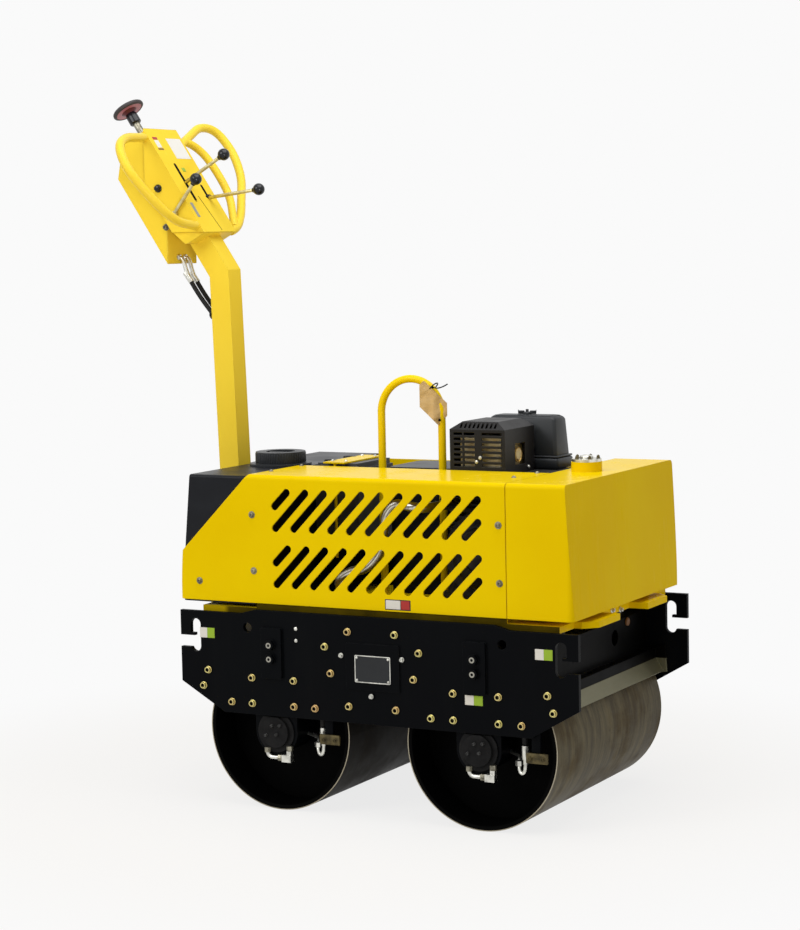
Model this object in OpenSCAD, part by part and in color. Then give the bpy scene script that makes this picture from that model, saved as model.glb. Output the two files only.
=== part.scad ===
// Walk-behind double-drum vibratory roller, handle folded upright.
// Millimetres. +X is forward, +Y is the machine's left, +Z is up.
// The origin lies on the ground under the middle of the overall box.

/* [Drums] */
// Outside diameter of each drum
drum_d = 406; // [360:1:460]
// Width of each drum
drum_w = 650; // [560:1:760]
// Thickness of the drum shell
drum_wall = 12; // [8:0.5:18]
// Distance between the two drum axles
wheelbase = 570; // [540:1:640]
// Depth of the open drum end in front of its web
web_inset = 95; // [80:1:130]
// Thickness of each drum web
web_t = 12; // [8:0.5:18]
// Diameter of the hub welded into each web
hub_d = 130; // [110:1:170]
// Length of each hub
hub_len = 60; // [40:1:90]
// Diameter of the stub axle in the hub
axle_d = 50; // [40:1:60]

/* [Lower frame] */
// Gap between a drum end and the side plate
side_gap = 14; // [12:0.5:20]
// Thickness of the side plates
plate_t = 12; // [8:0.5:18]
// Height of the side plates
plate_h = 267; // [240:1:300]
// Height of the plate's lower edge above the axle
plate_rise = 42; // [30:1:60]
// Length of the side plate beyond each axle
plate_overhang = 272; // [255:1:320]
// Drop of the plate's top edge towards its ends
plate_end_drop = 11; // [5:1:20]
// Width of the throat of each tie-down hook
hook_throat = 30; // [22:1:36]
// Height of the throat of each tie-down hook
hook_h = 85; // [70:1:100]
// Height of the mouth of each tie-down hook
hook_mouth = 30; // [20:1:40]
// Thickness of steel around each tie-down hook
hook_jaw = 30; // [20:1:40]
// Diameter of the lashing holes
lash_hole_d = 24; // [16:0.5:30]
// Thickness of the raised pads on the side plates
pad_t = 8; // [4:0.5:12]
// Width across the flats of the big pad bolts
pad_bolt_af = 24; // [16:0.5:30]
// Thickness of the folded end crossmembers
cross_t = 6; // [4:0.5:8]
// Thickness of the drum carrier plates
carrier_t = 8; // [5:0.5:8]
// Diameter of the bearing housing on each carrier
bearing_d = 110; // [90:1:120]
// Diameter of each drive motor
motor_d = 104; // [90:1:115]
// Diameter of the metal pipes at the motors
pipe_d = 11; // [8:0.5:14]

/* [Upper frame] */
// Diameter of the rubber buffers
buffer_d = 70; // [50:1:80]
// Height of the rubber buffers
buffer_h = 43; // [35:1:60]
// Thickness of the upper frame plate
upper_t = 16; // [10:1:20]
// Half length of the upper frame plate
upper_half = 500; // [480:1:515]
// Reach of the buffer tabs beyond the upper frame plate
tab_reach = 52; // [40:1:60]

/* [Hood] */
// Gap between the hood's side and the inner face of a side plate
hood_inset = 4; // [1:0.5:10]
// Height of the hood
hood_h = 325; // [300:1:360]
// Gap between the upper frame and the hood's lower edge
hood_gap = 13; // [8:1:20]
// Distance from the middle of the wheelbase to the hood's front at the bottom
hood_front = 537; // [520:1:560]
// Distance from the middle of the wheelbase to the hood's rear at the bottom
hood_rear = 568; // [555:1:575]
// Lean of the hood's front over its height
front_lean = 17; // [8:1:30]
// Lean of the hood's rear over its height
rear_lean = 32; // [25:1:45]
// Radius of the hood's long top edges
hood_edge_r = 12; // [6:1:20]
// Radius of the hood's upright corners
hood_corner_r = 16; // [8:1:24]
// Thickness of the hood sheet
sheet_t = 4; // [3:0.5:6]
// Distance from the middle of the wheelbase to the seam in front of the side panels
seam_x = 364; // [355:1:380]
// Distance from the middle of the wheelbase to the top of the slanted rear cut
cut_x = 355; // [340:1:370]
// Distance from the middle to the right edge of the hood's opening
opening_right = 78; // [77:1:100]
// How far the left panel's top edge lies below the hood's top
left_drop = 20; // [14:1:40]
// Width of a vent slot
vent_w = 20; // [14:0.5:24]
// Distance between vent slots
vent_pitch = 53.2; // [48:0.1:54]
// Length of a vent slot between its end centres, along X
vent_run = 88; // [70:1:94]
// Number of full vent slots in a row
vent_count = 10; // [8:1:10]

/* [Power unit] */
// Length of the engine block
engine_l = 280; // [250:1:290]
// Width of the engine block
engine_w = 300; // [260:1:310]
// Length of the muffler guard
guard_l = 154; // [140:1:165]
// Width of the muffler guard
guard_w = 172; // [150:1:176]
// Height of the muffler guard
guard_h = 134; // [110:1:150]
// Length of the air cleaner
cleaner_l = 216; // [180:1:230]
// Width of the air cleaner
cleaner_w = 100; // [80:1:110]
// Height of the air cleaner
cleaner_h = 138; // [120:1:160]
// Diameter of the filler neck on the front tank
neck_d = 77; // [60:1:90]
// Diameter of the water cap
cap_d = 131; // [110:1:150]
// Height of the water cap
cap_h = 36; // [26:1:50]
// Diameter of the lifting hoop's tube
hoop_d = 20; // [16:0.5:26]
// Distance between the lifting hoop's legs
hoop_w = 176; // [150:1:190]
// Height of the lifting hoop above the hood
hoop_rise = 234; // [180:1:280]

/* [Handle] */
// Width of the square steering column
column_w = 60; // [50:1:64]
// Wall of the steering column
column_wall = 4; // [3:0.5:6]
// Height of the fold pivot above the upper frame
pivot_rise = 61; // [58:1:70]
// Distance from the fold pivot up to the column's bend
column_len = 777; // [700:1:850]
// Backward lean of the column when it is folded up
column_lean = 1.8; // [0:0.1:4]
// Backward lean of the control head when it is folded up
head_tilt = 33.6; // [28:0.1:40]
// Diameter of the fold pivot pin
pivot_d = 25; // [18:0.5:30]
// Width of the control head cover
cover_w = 157; // [140:1:180]
// Length of the control head's panel
panel_l = 334; // [310:1:360]
// Depth of the control head cover
cover_depth = 85; // [70:1:95]
// Depth of the whole control head
head_depth = 150; // [135:1:160]
// Diameter of the hand loop tubes
grip_d = 24; // [20:0.5:30]
// Sideways reach of the hand loops from the middle
grip_reach = 277; // [250:1:300]
// Forward splay of the hand loops
grip_splay = 5.7; // [0:0.1:8]
// Diameter of the ball knobs
ball_d = 32; // [26:1:38]
// Diameter of the lever rods
rod_d = 10; // [8:0.5:12]
// Diameter of the stop button's disc
stop_d = 90; // [70:1:100]
// Diameter of the control hoses
hose_d = 14; // [10:0.5:16]

/* [Hidden] */
$fn = 64;
// Running gap around a turning shaft and slack around a fixed pin
run_gap = 0.05;
pin_slack = 0.2;
// Gap between neighbouring curved or painted parts
part_gap = 0.5;
// Gap left where a curved part seats on another
seat_gap = 0.3;

// Heights, counted up from the ground
axle_z = drum_d / 2;
axle_x = wheelbase / 2;
plate_z0 = axle_z + plate_rise;
plate_z1 = plate_z0 + plate_h;
shelf_drop = 57;
shelf_z = plate_z1 - shelf_drop;
upper_z0 = shelf_z + buffer_h;
upper_z1 = upper_z0 + upper_t;
hood_z0 = upper_z1 + hood_gap;
hood_z1 = hood_z0 + hood_h;

// Places across the machine
plate_y0 = drum_w / 2 + side_gap;
plate_y1 = plate_y0 + plate_t;
plate_x1 = axle_x + plate_overhang;
toe_l = 127;
toe_h = 73;
shoulder_l = 179;
shoulder_run = 42;
lash_l = 200;
lash_drop = 46;
hook_roof = 20;
hook_sill = 11;
hook_barb = [12, 7];
hood_y = plate_y0 - hood_inset;
hood_w = 2 * hood_y;
rail_y = hood_y - sheet_t;
rail_t = 6;
rail_h = 42;
rail_gap = 5;

// Drive motors, their pipes and elbows
motor_step = 8;
motor_rim = 13;
motor_gap = 4;
pipe_x = 24;
pipe_drop = 12;
pipe_bend = 14;
elbow_x = 22;
elbow = [26, 16, 18];
elbow_stub = [12, 12, 10];

// Box beam between the drums
beam_w = 130;
beam_h = 140;
beam_wall = 8;
flange_t = 12;

// Carrier plates, their tongues and the steps of the stub axles
carrier_size = [276, 94];
carrier_lift = 13;
carrier_r = 12;
tongue_w = 120;
axle_over = 6;
axle_step = 8;
bearing_gap = 14;
web_gap = 4;

// Folds of the end crossmembers, which follow the drum's face
wall_run = 155;
lip_run = 183;
end_run = 205;
shelf_rise = 149;
lip_rise = 127;
end_rise = 91;
cross_wall_x = axle_x + wall_run;
cross_shelf_z = axle_z + shelf_rise;
cross_lip_x = axle_x + lip_run;
cross_lip_z = axle_z + lip_rise;
cross_end_x = axle_x + end_run;
cross_end_z = axle_z + end_rise;
shelf_l = 84;
gusset_nose = [30, 14];
gusset_foot = 12;
wall_hole_d = 40;
wall_hole_drop = 43;
oval_w = 14;
buffer_x = cross_wall_x - 40;
buffer_y = hood_y / 2;
tab_half = 79;
tab_chamfer = 32;
tab_root = 60;

// Tanks, engine and their seats
engine_x = 200;
engine_y = 20;
engine_top = hood_z1 - 12;
engine_r = 14;
engine_foot = 14;
engine_deck_t = 14;
fin_pitch = 16;
fin_t = 6;
blower_d = 226;
starter_t = 16;
guard_x = 162;
guard_y = 10;
guard_chamfer = 19;
guard_t = 4;
guard_end = 28;
guard_rows = [[-66, 24], [-37, 30], [13, 56]];
row_count = 7;
row_z = 21.5;
row_pitch = 13.2;
row_h = 6.5;
slit_count = 9;
slit_w = 6;
slit_pitch = 12;
slit_edge = 3;
can_gap = 20;
tail_y = 3;
tail_z = 49;
tail_d = 30;
tail_window = [58, 54];
cleaner_x = 193;
cleaner_gap = 8;
cleaner_y = guard_y + guard_w / 2 + cleaner_gap + cleaner_w / 2;
cleaner_base = 30;
cleaner_step = 8;
cleaner_r = 20;
wing_nut_d = 20;
wing_l = 50;
wing_t = 8;
wing_rise = 4;
fuel_x = -50;
fuel_size = [200, 190];
fuel_y = 116;
fuel_over = -8;
fuel_r = 24;
hoop_x = -64;
battery_size = [130, 187, 227];
battery_at = [-265, 50, hood_z1 + 4];
tray_t = 4;
lid_h = 14;
lid_step = 6;
strap_w = 64;
strap_over = 14;
strap_hook = 20;
strap_rod_d = 8;
water_x = -345;
water_foot = 90;
cap_at = [-436, -40];
cap_flange = 16;
cap_flange_t = 6;
cap_dish = 12;
cap_wall = 27;
neck_x = 428;
neck_h = 24;
neck_step = 1.5;
filler_t = 7;

// Handle: pivot, bend and the frame of the control head
pivot_x = -hood_rear - 27;
pivot_z = upper_z1 + pivot_rise;
bend_x = pivot_x - column_len * sin(column_lean);
bend_z = pivot_z + column_len * cos(column_lean);
neck_run = 132;
neck_over = 62;
head_x = bend_x - neck_run * sin(head_tilt) + neck_over;
head_z = bend_z + neck_run * cos(head_tilt);
bar_d = 22;
ear_t = 12;
ear_gap = 3;
ear_r = 32;
foot_margin = 10;
ear_back = 8;
pin_over = 3;
pin_head = [7, 11];
pin_washer = [5, 8];
cover_t = 4;
housing_w = cover_w - 20;
housing_x = head_x - head_depth * cos(head_tilt);
housing_sill = 60;
housing_lip = 12;
shoulder = [86, 6];
shoulder_drop = 60;
stop_seat = panel_l + shoulder.y + 2;
stop_n = -53;
stop_rise = 101;
stop_t = panel_l + stop_rise;
stop_r = 6;
stop_shaft_d = 16;
stop_hub = [30, 40];
hose_lift = 18;
hose_drop = 150;
hose_nut = 16;
hose_bend = 24;
hose_ys = [-20, 8];

// Slots in the panel: across it, lower end and upper end. Feet and tips of the levers.
slot_w = 7;
travel_slot = [-28, 100, 218];
vibration_slot = [40, 109, 150];
travel_tip = [141, -28, 150];
vibration_tip = [143, 40, 38];
throttle_foot = [-45, -8, 90];
throttle_tip = [63, -8, 125];
throttle_hub = [24, 14];

// Corners of the hand loops and of the bar inside the left one, sideways and up the panel
loop_root = cover_w / 2 - grip_d / 2;
loop_right = [
    [loop_root, panel_l - 21], [grip_reach - 89, panel_l - 33], [grip_reach - 21, panel_l - 68],
    [grip_reach + 5, panel_l - 139], [grip_reach - 30, 107], [grip_reach - 94, 34], [loop_root, 28]
];
loop_left = [
    [loop_root, panel_l - 48], [grip_reach - 70, panel_l + 15], [grip_reach - 8, panel_l + 2],
    [grip_reach + 12, panel_l - 72], [grip_reach - 15, panel_l - 156], [grip_reach - 117, 58],
    [grip_reach - 169, 14], [loop_root, 9]
];
loop_bar = [
    [grip_reach - 171, panel_l - 31], [grip_reach - 124, panel_l - 61], [grip_reach - 112, panel_l - 134],
    [grip_reach - 117, 120], [grip_reach - 177, 22]
];

// The overall box runs from the stop button's rim to the front of the side plates
stop_x = head_x + stop_n * cos(head_tilt) - stop_t * sin(head_tilt);
box_x0 = stop_x - (stop_d / 2 - stop_r) * cos(head_tilt) - stop_r;
box_mid_x = (box_x0 + plate_x1) / 2;

yellow = [0.91, 0.76, 0.02];
black = [0.05, 0.05, 0.055];
steel = [0.62, 0.62, 0.6];
zinc = [0.75, 0.68, 0.4];
rubber = [0.08, 0.08, 0.08];

// Shared shapes

// Moves the model so that the origin lies under the middle of the overall box.
module placed() { translate([-box_mid_x, 0, 0]) children(); }

// Stands an outline drawn in X and Z upright, from y0 to y1.
module upright(y0, y1) {
    translate([0, y1, 0]) rotate([90, 0, 0]) linear_extrude(y1 - y0) children();
}

// Lays a cylinder along Y, from y0 to y1.
module bar_y(d, y0, y1) {
    translate([0, y0, 0]) rotate([-90, 0, 0]) cylinder(d = d, h = y1 - y0);
}

// Rectangle with rounded corners, from the lower left corner.
module round_rect(size, r) {
    translate([r, 0]) square([size.x - 2 * r, size.y]);
    translate([0, r]) square([size.x, size.y - 2 * r]);
    for (x = [r, size.x - r])
        for (y = [r, size.y - r])
            translate([x, y]) circle(r);
}

// Rectangle with rounded upper corners, from the middle of its lower edge.
module round_top(w, h, r) {
    translate([-w / 2, 0]) square([w, h - r]);
    translate([r - w / 2, 0]) square([w - 2 * r, h]);
    for (s = [-1, 1]) translate([s * (w / 2 - r), h - r]) circle(r);
}

// Straight slot of width w between two end centres. Its flanks lie a hair inside its round ends.
module slot_2d(a, b, w) {
    side = [a.y - b.y, b.x - a.x] / norm(b - a) * (w / 2 - 0.02);
    polygon([a - side, b - side, b + side, a + side]);
    translate(a) circle(d = w);
    translate(b) circle(d = w);
}

// Folded sheet of thickness t along a line of points, with mitred folds.
module folded_sheet(p, t) {
    last = len(p) - 1;
    polygon(concat(
        [for (i = [0 : last]) p[i] + across(p, i) * t / 2],
        [for (i = [last : -1 : 0]) p[i] - across(p, i) * t / 2]
    ));
}

// Unit vector from one point to the next.
function heading(a, b) = (b - a) / norm(b - a);
// Signed turn, in degrees, at the middle one of three points.
function turn_at(a, b, c) =
    let (d1 = heading(a, b), d2 = heading(b, c)) atan2(d1.x * d2.y - d1.y * d2.x, d1 * d2);
// Length that a bend of radius r takes off each leg at a corner.
function bend_leg(p, i, r) =
    (i == 0 || i == len(p) - 1) ? 0 : r * tan(abs(turn_at(p[i - 1], p[i], p[i + 1])) / 2);

// Round tube in the XY plane along points, with bends of radius r.
module bent_tube(p, r, d) {
    for (i = [0 : len(p) - 2]) {
        dir = heading(p[i], p[i + 1]);
        a = p[i] + dir * bend_leg(p, i, r);
        b = p[i + 1] - dir * bend_leg(p, i + 1, r);
        if (norm(b - a) > 0.01)
            translate(a) rotate(atan2(dir.y, dir.x)) rotate([0, 90, 0]) cylinder(d = d, h = norm(b - a));
    }
    for (i = [1 : len(p) - 2]) {
        dir = heading(p[i - 1], p[i]);
        turn = turn_at(p[i - 1], p[i], p[i + 1]);
        side = sign(turn);
        start = p[i] - dir * bend_leg(p, i, r);
        centre = start + side * r * [-dir.y, dir.x];
        first = atan2(dir.y, dir.x) - side * 90 - (side < 0 ? abs(turn) : 0);
        translate(centre) rotate(first) rotate_extrude(angle = abs(turn)) translate([r, 0]) circle(d = d);
    }
}

// Straight rod between two points in space.
module rod(a, b, d) {
    run = b - a;
    translate(a) rotate([0, acos(run.z / norm(run)), atan2(run.y, run.x)]) cylinder(d = d, h = norm(run));
}

// Drums

// Rolled shell, two webs and their bored hubs.
module drum(x) {
    inner_d = drum_d - 2 * drum_wall;
    web_y = drum_w / 2 - web_inset;
    color(steel) translate([x, 0, axle_z]) difference() {
        union() {
            difference() {
                bar_y(drum_d, -drum_w / 2, drum_w / 2);
                bar_y(inner_d, -drum_w / 2 - 1, drum_w / 2 + 1);
            }
            for (s = [-1, 1]) {
                bar_y(inner_d + drum_wall, s * web_y - (s > 0 ? web_t : 0), s * web_y + (s > 0 ? 0 : web_t));
                bar_y(hub_d, s * web_y - (s > 0 ? hub_len : 0), s * web_y + (s > 0 ? 0 : hub_len));
            }
        }
        bar_y(axle_d + 2 * run_gap, -drum_w / 2, drum_w / 2);
    }
}
module front_drum() { drum(axle_x); }
module rear_drum() { drum(-axle_x); }

// Lower frame

// Outline of a side plate, with a tie-down hook at each end.
module plate_outline() {
    foot_x = plate_x1 - toe_l;
    low_x = plate_x1 - shoulder_l;
    high_x = low_x - shoulder_run;
    end_z = plate_z1 - plate_end_drop;
    difference() {
        polygon([
            [-foot_x, plate_z0], [foot_x, plate_z0], [plate_x1, plate_z0 + toe_h], [plate_x1, end_z],
            [low_x, end_z], [high_x, plate_z1], [-high_x, plate_z1], [-low_x, end_z],
            [-plate_x1, end_z], [-plate_x1, plate_z0 + toe_h]
        ]);
        for (s = [0, 1]) mirror([s, 0]) hook_cut();
        for (s = [-1, 1]) translate([s * (plate_x1 - lash_l), plate_z1 - lash_drop]) circle(d = lash_hole_d);
    }
}

// Throat and mouth of the front tie-down hook, with a barb above the mouth.
module hook_cut() {
    throat_x = plate_x1 - hook_jaw - hook_throat / 2;
    top = plate_z1 - plate_end_drop - hook_roof;
    mouth_z = top - hook_h + hook_sill;
    difference() {
        slot_2d([throat_x, top - hook_throat / 2], [throat_x, top - hook_h + hook_throat / 2], hook_throat);
        translate([throat_x + hook_throat / 2 - hook_barb.x, mouth_z + hook_mouth]) square(hook_barb);
    }
    translate([throat_x, mouth_z]) square([plate_x1 + 1 - throat_x, hook_mouth]);
}

// Raised pad with two big bolts in front of each axle.
module plate_pads() {
    pad = [60, 128];
    bolt_h = 11;
    for (s = [-1, 1]) translate([s * axle_x, 0, plate_z0 + 0.6 * plate_h]) {
        upright(-plate_t / 2, pad_t) translate(-pad / 2) round_rect(pad, 4);
        for (z = [-13, 22]) translate([0, 0, z])
            upright(0, pad_t + bolt_h) circle(d = pad_bolt_af / cos(30), $fn = 6);
    }
}

// One side plate at y0, its pads on the outer side.
module side_plate(side) {
    color(black) mirror([0, side < 0 ? 1 : 0, 0]) {
        upright(plate_y0, plate_y1) plate_outline();
        translate([0, plate_y1, 0]) plate_pads();
    }
}
module side_plate_right() {
    panel = [150, 116];
    panel_t = 4;
    side_plate(-1);
    color(black) translate([4, -plate_y1, plate_z0 + 0.535 * plate_h])
        upright(-panel_t, plate_t / 2) translate(-panel / 2) round_rect(panel, 3);
}
module side_plate_left() { side_plate(1); }

// Box beam between the drums, with a bolting flange at each end.
module centre_beam() {
    beam = [beam_w, beam_h];
    wall = [beam_wall, beam_wall];
    narrow = 0.65 * beam_w;
    middle = 1.04 * beam_w;
    wide = 1.17 * beam_w;
    flange = [
        [-narrow, 0.09 * plate_h], [narrow, 0.09 * plate_h], [middle, 0.39 * plate_h], [wide, 0.7 * plate_h],
        [narrow, 0.92 * plate_h], [-narrow, 0.92 * plate_h], [-wide, 0.7 * plate_h], [-middle, 0.39 * plate_h]
    ];
    corner = [-beam_w / 2, plate_z0 + 0.32 * plate_h];
    half = plate_y0 - flange_t;
    color(black) {
        for (s = [0, 1]) mirror([0, s, 0]) translate([0, 0, plate_z0])
            upright(plate_y0 - flange_t, plate_y0) polygon(flange);
        difference() {
            upright(-half - flange_t / 2, half + flange_t / 2) translate(corner) square(beam);
            upright(-half, half) translate(corner + wall) square(beam - 2 * wall);
        }
    }
}

// Folded crossmember with the buffer shelf above and the scraper lip below.
module end_crossmember(side) {
    half = plate_y0;
    line = [
        [cross_wall_x - shelf_l, shelf_z - cross_t / 2], [cross_wall_x, shelf_z - cross_t / 2],
        [cross_wall_x, cross_shelf_z], [cross_lip_x, cross_shelf_z],
        [cross_lip_x, cross_lip_z], [cross_end_x, cross_end_z]
    ];
    gusset = [
        [cross_wall_x, cross_shelf_z], [cross_lip_x + gusset_nose.x, cross_shelf_z + gusset_nose.y],
        [cross_end_x + gusset_foot, cross_end_z], [cross_end_x - gusset_foot, cross_end_z - cross_t / 2],
        [cross_wall_x + gusset_foot, cross_lip_z]
    ];
    color(black) mirror([side < 0 ? 1 : 0, 0, 0]) {
        difference() {
            upright(-half, half) folded_sheet(line, cross_t);
            for (s = [-1, 1]) {
                translate([cross_wall_x - wall_hole_d / 2, s * half * 0.38, shelf_z - wall_hole_drop])
                    rotate([0, 90, 0]) cylinder(d = wall_hole_d, h = wall_hole_d);
                translate([(cross_wall_x + cross_lip_x) / 2, s * half * 0.21, cross_shelf_z - cross_t])
                    linear_extrude(2 * cross_t) slot_2d([0, -oval_w], [0, oval_w], oval_w);
            }
        }
        for (s = [-1, 1]) translate([0, s * (half - cross_t), 0])
            upright(-cross_t / 2, cross_t / 2) polygon(gusset);
    }
}
module front_crossmember() { end_crossmember(1); }
module rear_crossmember() { end_crossmember(-1); }

// Carrier plate bolted inside a side plate, with the bearing housing and the stub axle.
module drum_carrier(x, side) {
    web_y = drum_w / 2 - web_inset;
    axle_end = web_y - hub_len - axle_over;
    color(black) translate([x, 0, 0]) mirror([0, side < 0 ? 1 : 0, 0]) {
        upright(plate_y0 - carrier_t, plate_y0) {
            translate([-carrier_size.x / 2, plate_z0 + carrier_lift]) round_rect(carrier_size, carrier_r);
            translate([-tongue_w / 2, axle_z]) square([tongue_w, plate_rise + carrier_size.y / 2]);
            translate([0, axle_z]) circle(d = tongue_w);
        }
        translate([0, 0, axle_z]) {
            bar_y(bearing_d, web_y + bearing_gap, plate_y0 - carrier_t / 2);
            bar_y(axle_d + 2 * axle_step, web_y + web_gap, plate_y0 - carrier_t / 2);
            bar_y(axle_d, axle_end, plate_y0 - carrier_t / 2);
        }
    }
}
module carrier_front_right() { drum_carrier(axle_x, -1); }
module carrier_front_left() { drum_carrier(axle_x, 1); }
module carrier_rear_right() { drum_carrier(-axle_x, -1); }
module carrier_rear_left() { drum_carrier(-axle_x, 1); }

// Hydraulic motor on the right side of a drum.
module drive_motor(x) {
    color(black) translate([x, 0, axle_z]) {
        difference() {
            union() {
                bar_y(motor_d, motor_step - plate_y1, -plate_y0);
                bar_y(motor_d - 2 * motor_rim, -plate_y1, -plate_y0);
            }
            translate([-motor_d, -plate_y1 - 1, plate_rise - motor_gap])
                cube([2 * motor_d, plate_t + 2, motor_d]);
        }
    }
}
module drive_motor_front() { drive_motor(axle_x); }
module drive_motor_rear() { drive_motor(-axle_x); }

// Bent pipe, elbow block and hose end under a motor.
module motor_pipes(x) {
    y = -plate_y0 - pipe_d / 2 - part_gap;
    r = motor_d / 2;
    low = -r - pipe_drop;
    top = sqrt(r * r - pow(pipe_x - pipe_d / 2, 2)) + seat_gap;
    color(steel) translate([x, y, axle_z]) rotate([90, 0, 0])
        bent_tube([[-pipe_x, -top], [-pipe_x, low], [elbow_x, low]], pipe_bend, pipe_d);
    color(zinc) translate([x + elbow_x, -plate_y0 - part_gap / 2, axle_z + low - elbow.z / 2]) {
        translate([0, -elbow.y, 0]) cube(elbow);
        translate([elbow.x - elbow_stub.x, -(elbow.y + elbow_stub.y) / 2, elbow.z / 2])
            cube(elbow_stub + [0, 0, elbow.z / 2]);
    }
}
module motor_pipes_front() { motor_pipes(axle_x); }
module motor_pipes_rear() { motor_pipes(-axle_x); }

// Upper frame

// Four rubber buffers between the crossmember shelves and the upper frame.
module rubber_buffers() {
    color(rubber)
        for (x = [-buffer_x, buffer_x])
            for (y = [-buffer_y, buffer_y])
                translate([x, y, shelf_z]) cylinder(d = buffer_d, h = buffer_h);
}

// Outline of one buffer tab, pointing forward on the left side.
module tab_outline() {
    y0 = buffer_y - tab_half;
    y1 = buffer_y + tab_half;
    polygon([
        [-tab_root, y0], [tab_reach, y0], [tab_reach, y1 - tab_chamfer], [tab_reach - tab_chamfer, y1],
        [-tab_root, y1]
    ]);
}

// Plate with upturned rails, four tabs, tank feet and the tongue for the handle.
module upper_frame() {
    tongue = [pivot_x - ear_r - foot_margin, column_w];
    window = [300, 60];
    slot = [210, 40];
    slot_x = 165;
    slot_y = -40;
    foot = 80;
    foot_x = seam_x + 46;
    rail_x0 = water_x + rail_gap;
    color(yellow) {
        translate([0, 0, upper_z0]) linear_extrude(upper_t) difference() {
            union() {
                translate([-upper_half, -rail_y]) square([2 * upper_half, 2 * rail_y]);
                for (s = [0, 1]) for (m = [0, 1]) mirror([s, 0]) mirror([0, m])
                    translate([upper_half, 0]) tab_outline();
                translate([tongue.x, -tongue.y]) square([-tongue.x - upper_half + tab_root, 2 * tongue.y]);
            }
            for (s = [-1, 1]) translate([s * slot_x, slot_y] - slot / 2) square(slot);
            for (s = [-1, 1]) translate([0, s * (rail_y - window.y - 12)] - window / 2) square(window);
        }
        for (s = [-1, 1]) translate([rail_x0, s * (rail_y - rail_t / 2) - rail_t / 2, upper_z0])
            cube([seam_x - 2 - rail_x0, rail_t, upper_t + rail_h]);
        for (s = [-1, 1]) translate([foot_x, s * 0.6 * hood_y - foot / 2, upper_z0])
            cube([foot, foot, upper_t + hood_gap]);
    }
}

// Hood

// Solid of the whole hood, inset by t on every side.
module hood_body(t) {
    intersection() {
        upright(-hood_y, hood_y) polygon([
            [t - hood_rear, hood_z0 - t], [hood_front - t, hood_z0 - t],
            [hood_front - front_lean - t, hood_z1 - t], [t + rear_lean - hood_rear, hood_z1 - t]
        ]);
        translate([-hood_rear - hood_front, 0, hood_z0 - t]) rotate([90, 0, 90])
            linear_extrude(2 * (hood_rear + hood_front))
                round_top(hood_w - 2 * t, hood_h, max(hood_edge_r - t, 1));
        translate([t - hood_rear, t - hood_y, hood_z0 - 2 * t]) linear_extrude(hood_h + 2 * t)
            round_rect([hood_rear + hood_front - 2 * t, hood_w - 2 * t], hood_corner_r);
    }
}

// Two rows of slanted vent slots, as an outline in X and Z.
module vent_outline() {
    rise = vent_run + 2;
    first = -276.7;
    half = vent_run * 0.4;
    last = first + vent_count * vent_pitch;
    for (z = [hood_z0 + 50.5, hood_z0 + 192.5]) {
        for (x = [first : vent_pitch : last - 1]) slot_2d([x, z], [x + vent_run, z + rise], vent_w);
        slot_2d([first - 1, z + rise - half], [first - 1 + half, z + rise], vent_w);
        slot_2d([last, z], [last + half, z + half], vent_w);
    }
}

// Region of the hood that the side panels fill, in front of the slanted cut.
module panel_outline() {
    cut_run = hood_h - 104;
    cut_z = hood_z1 + 1 - cut_run;
    polygon([
        [-hood_rear - 1, hood_z0], [seam_x - 1, hood_z0], [seam_x - 1, hood_z1 + 1],
        [-cut_x, hood_z1 + 1], [-cut_x - cut_run, cut_z], [-hood_rear - 1, cut_z]
    ]);
}

// Side panel with its vents and a short return at the rear. A top that isn't dropped has a flange.
module hood_panel(side, drop) {
    back = -hood_rear - 1;
    run = hood_rear + seam_x + 2;
    color(yellow) mirror([0, side < 0 ? 1 : 0, 0]) intersection() {
        difference() {
            hood_body(0);
            hood_body(sheet_t);
            upright(hood_y - hood_edge_r * 2, hood_y + 1) vent_outline();
        }
        upright(0, hood_y + 1) panel_outline();
        union() {
            translate([back, hood_y - 34, hood_z0 - 1]) cube([run, 35, hood_h + 2 - drop]);
            if (drop == 0) translate([back, opening_right, hood_z1 - hood_edge_r])
                cube([run, hood_y - opening_right, hood_edge_r + 2]);
        }
    }
}
module hood_panel_right() { hood_panel(-1, 0); }
module hood_panel_left() { hood_panel(1, left_drop); }

// Front hydraulic tank that closes the hood.
module hydraulic_tank() {
    color(yellow) {
        intersection() {
            hood_body(0);
            translate([seam_x + 1, -hood_y, hood_z0]) cube([hood_front, hood_w, hood_h + 1]);
        }
        translate([neck_x, 0, hood_z1 - sheet_t]) cylinder(d = neck_d, h = sheet_t + neck_h);
    }
}

// Steel flange on the filler neck.
module filler_cap() {
    color(steel) translate([neck_x, 0, hood_z1 + neck_h]) {
        cylinder(d = neck_d - 2 * neck_step, h = filler_t);
        cylinder(d = neck_d * 0.45, h = filler_t + 2 * neck_step);
    }
}

// Moulded water tank in the rear of the hood.
module water_tank() {
    gap = sheet_t + part_gap;
    color(black) intersection() {
        hood_body(gap);
        translate([-hood_rear, -hood_y, upper_z1]) cube([hood_rear + water_x, hood_w, hood_h + hood_gap]);
    }
    color(black) translate([water_foot - hood_rear, -0.6 * hood_y, upper_z1])
        cube([hood_rear + water_x - water_foot, 1.2 * hood_y, hood_gap]);
}

// Screw cap with a recessed top and a base flange.
module water_cap() {
    seat = hood_z1 - sheet_t - part_gap;
    color(black) translate([cap_at.x, cap_at.y, seat]) difference() {
        union() {
            cylinder(d = cap_d, h = cap_h);
            cylinder(d = cap_d + 2 * cap_flange, h = cap_flange_t);
        }
        translate([0, 0, cap_h - cap_dish]) cylinder(d = cap_d - 2 * cap_wall, h = cap_dish + 1);
    }
}

// Power unit

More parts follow.
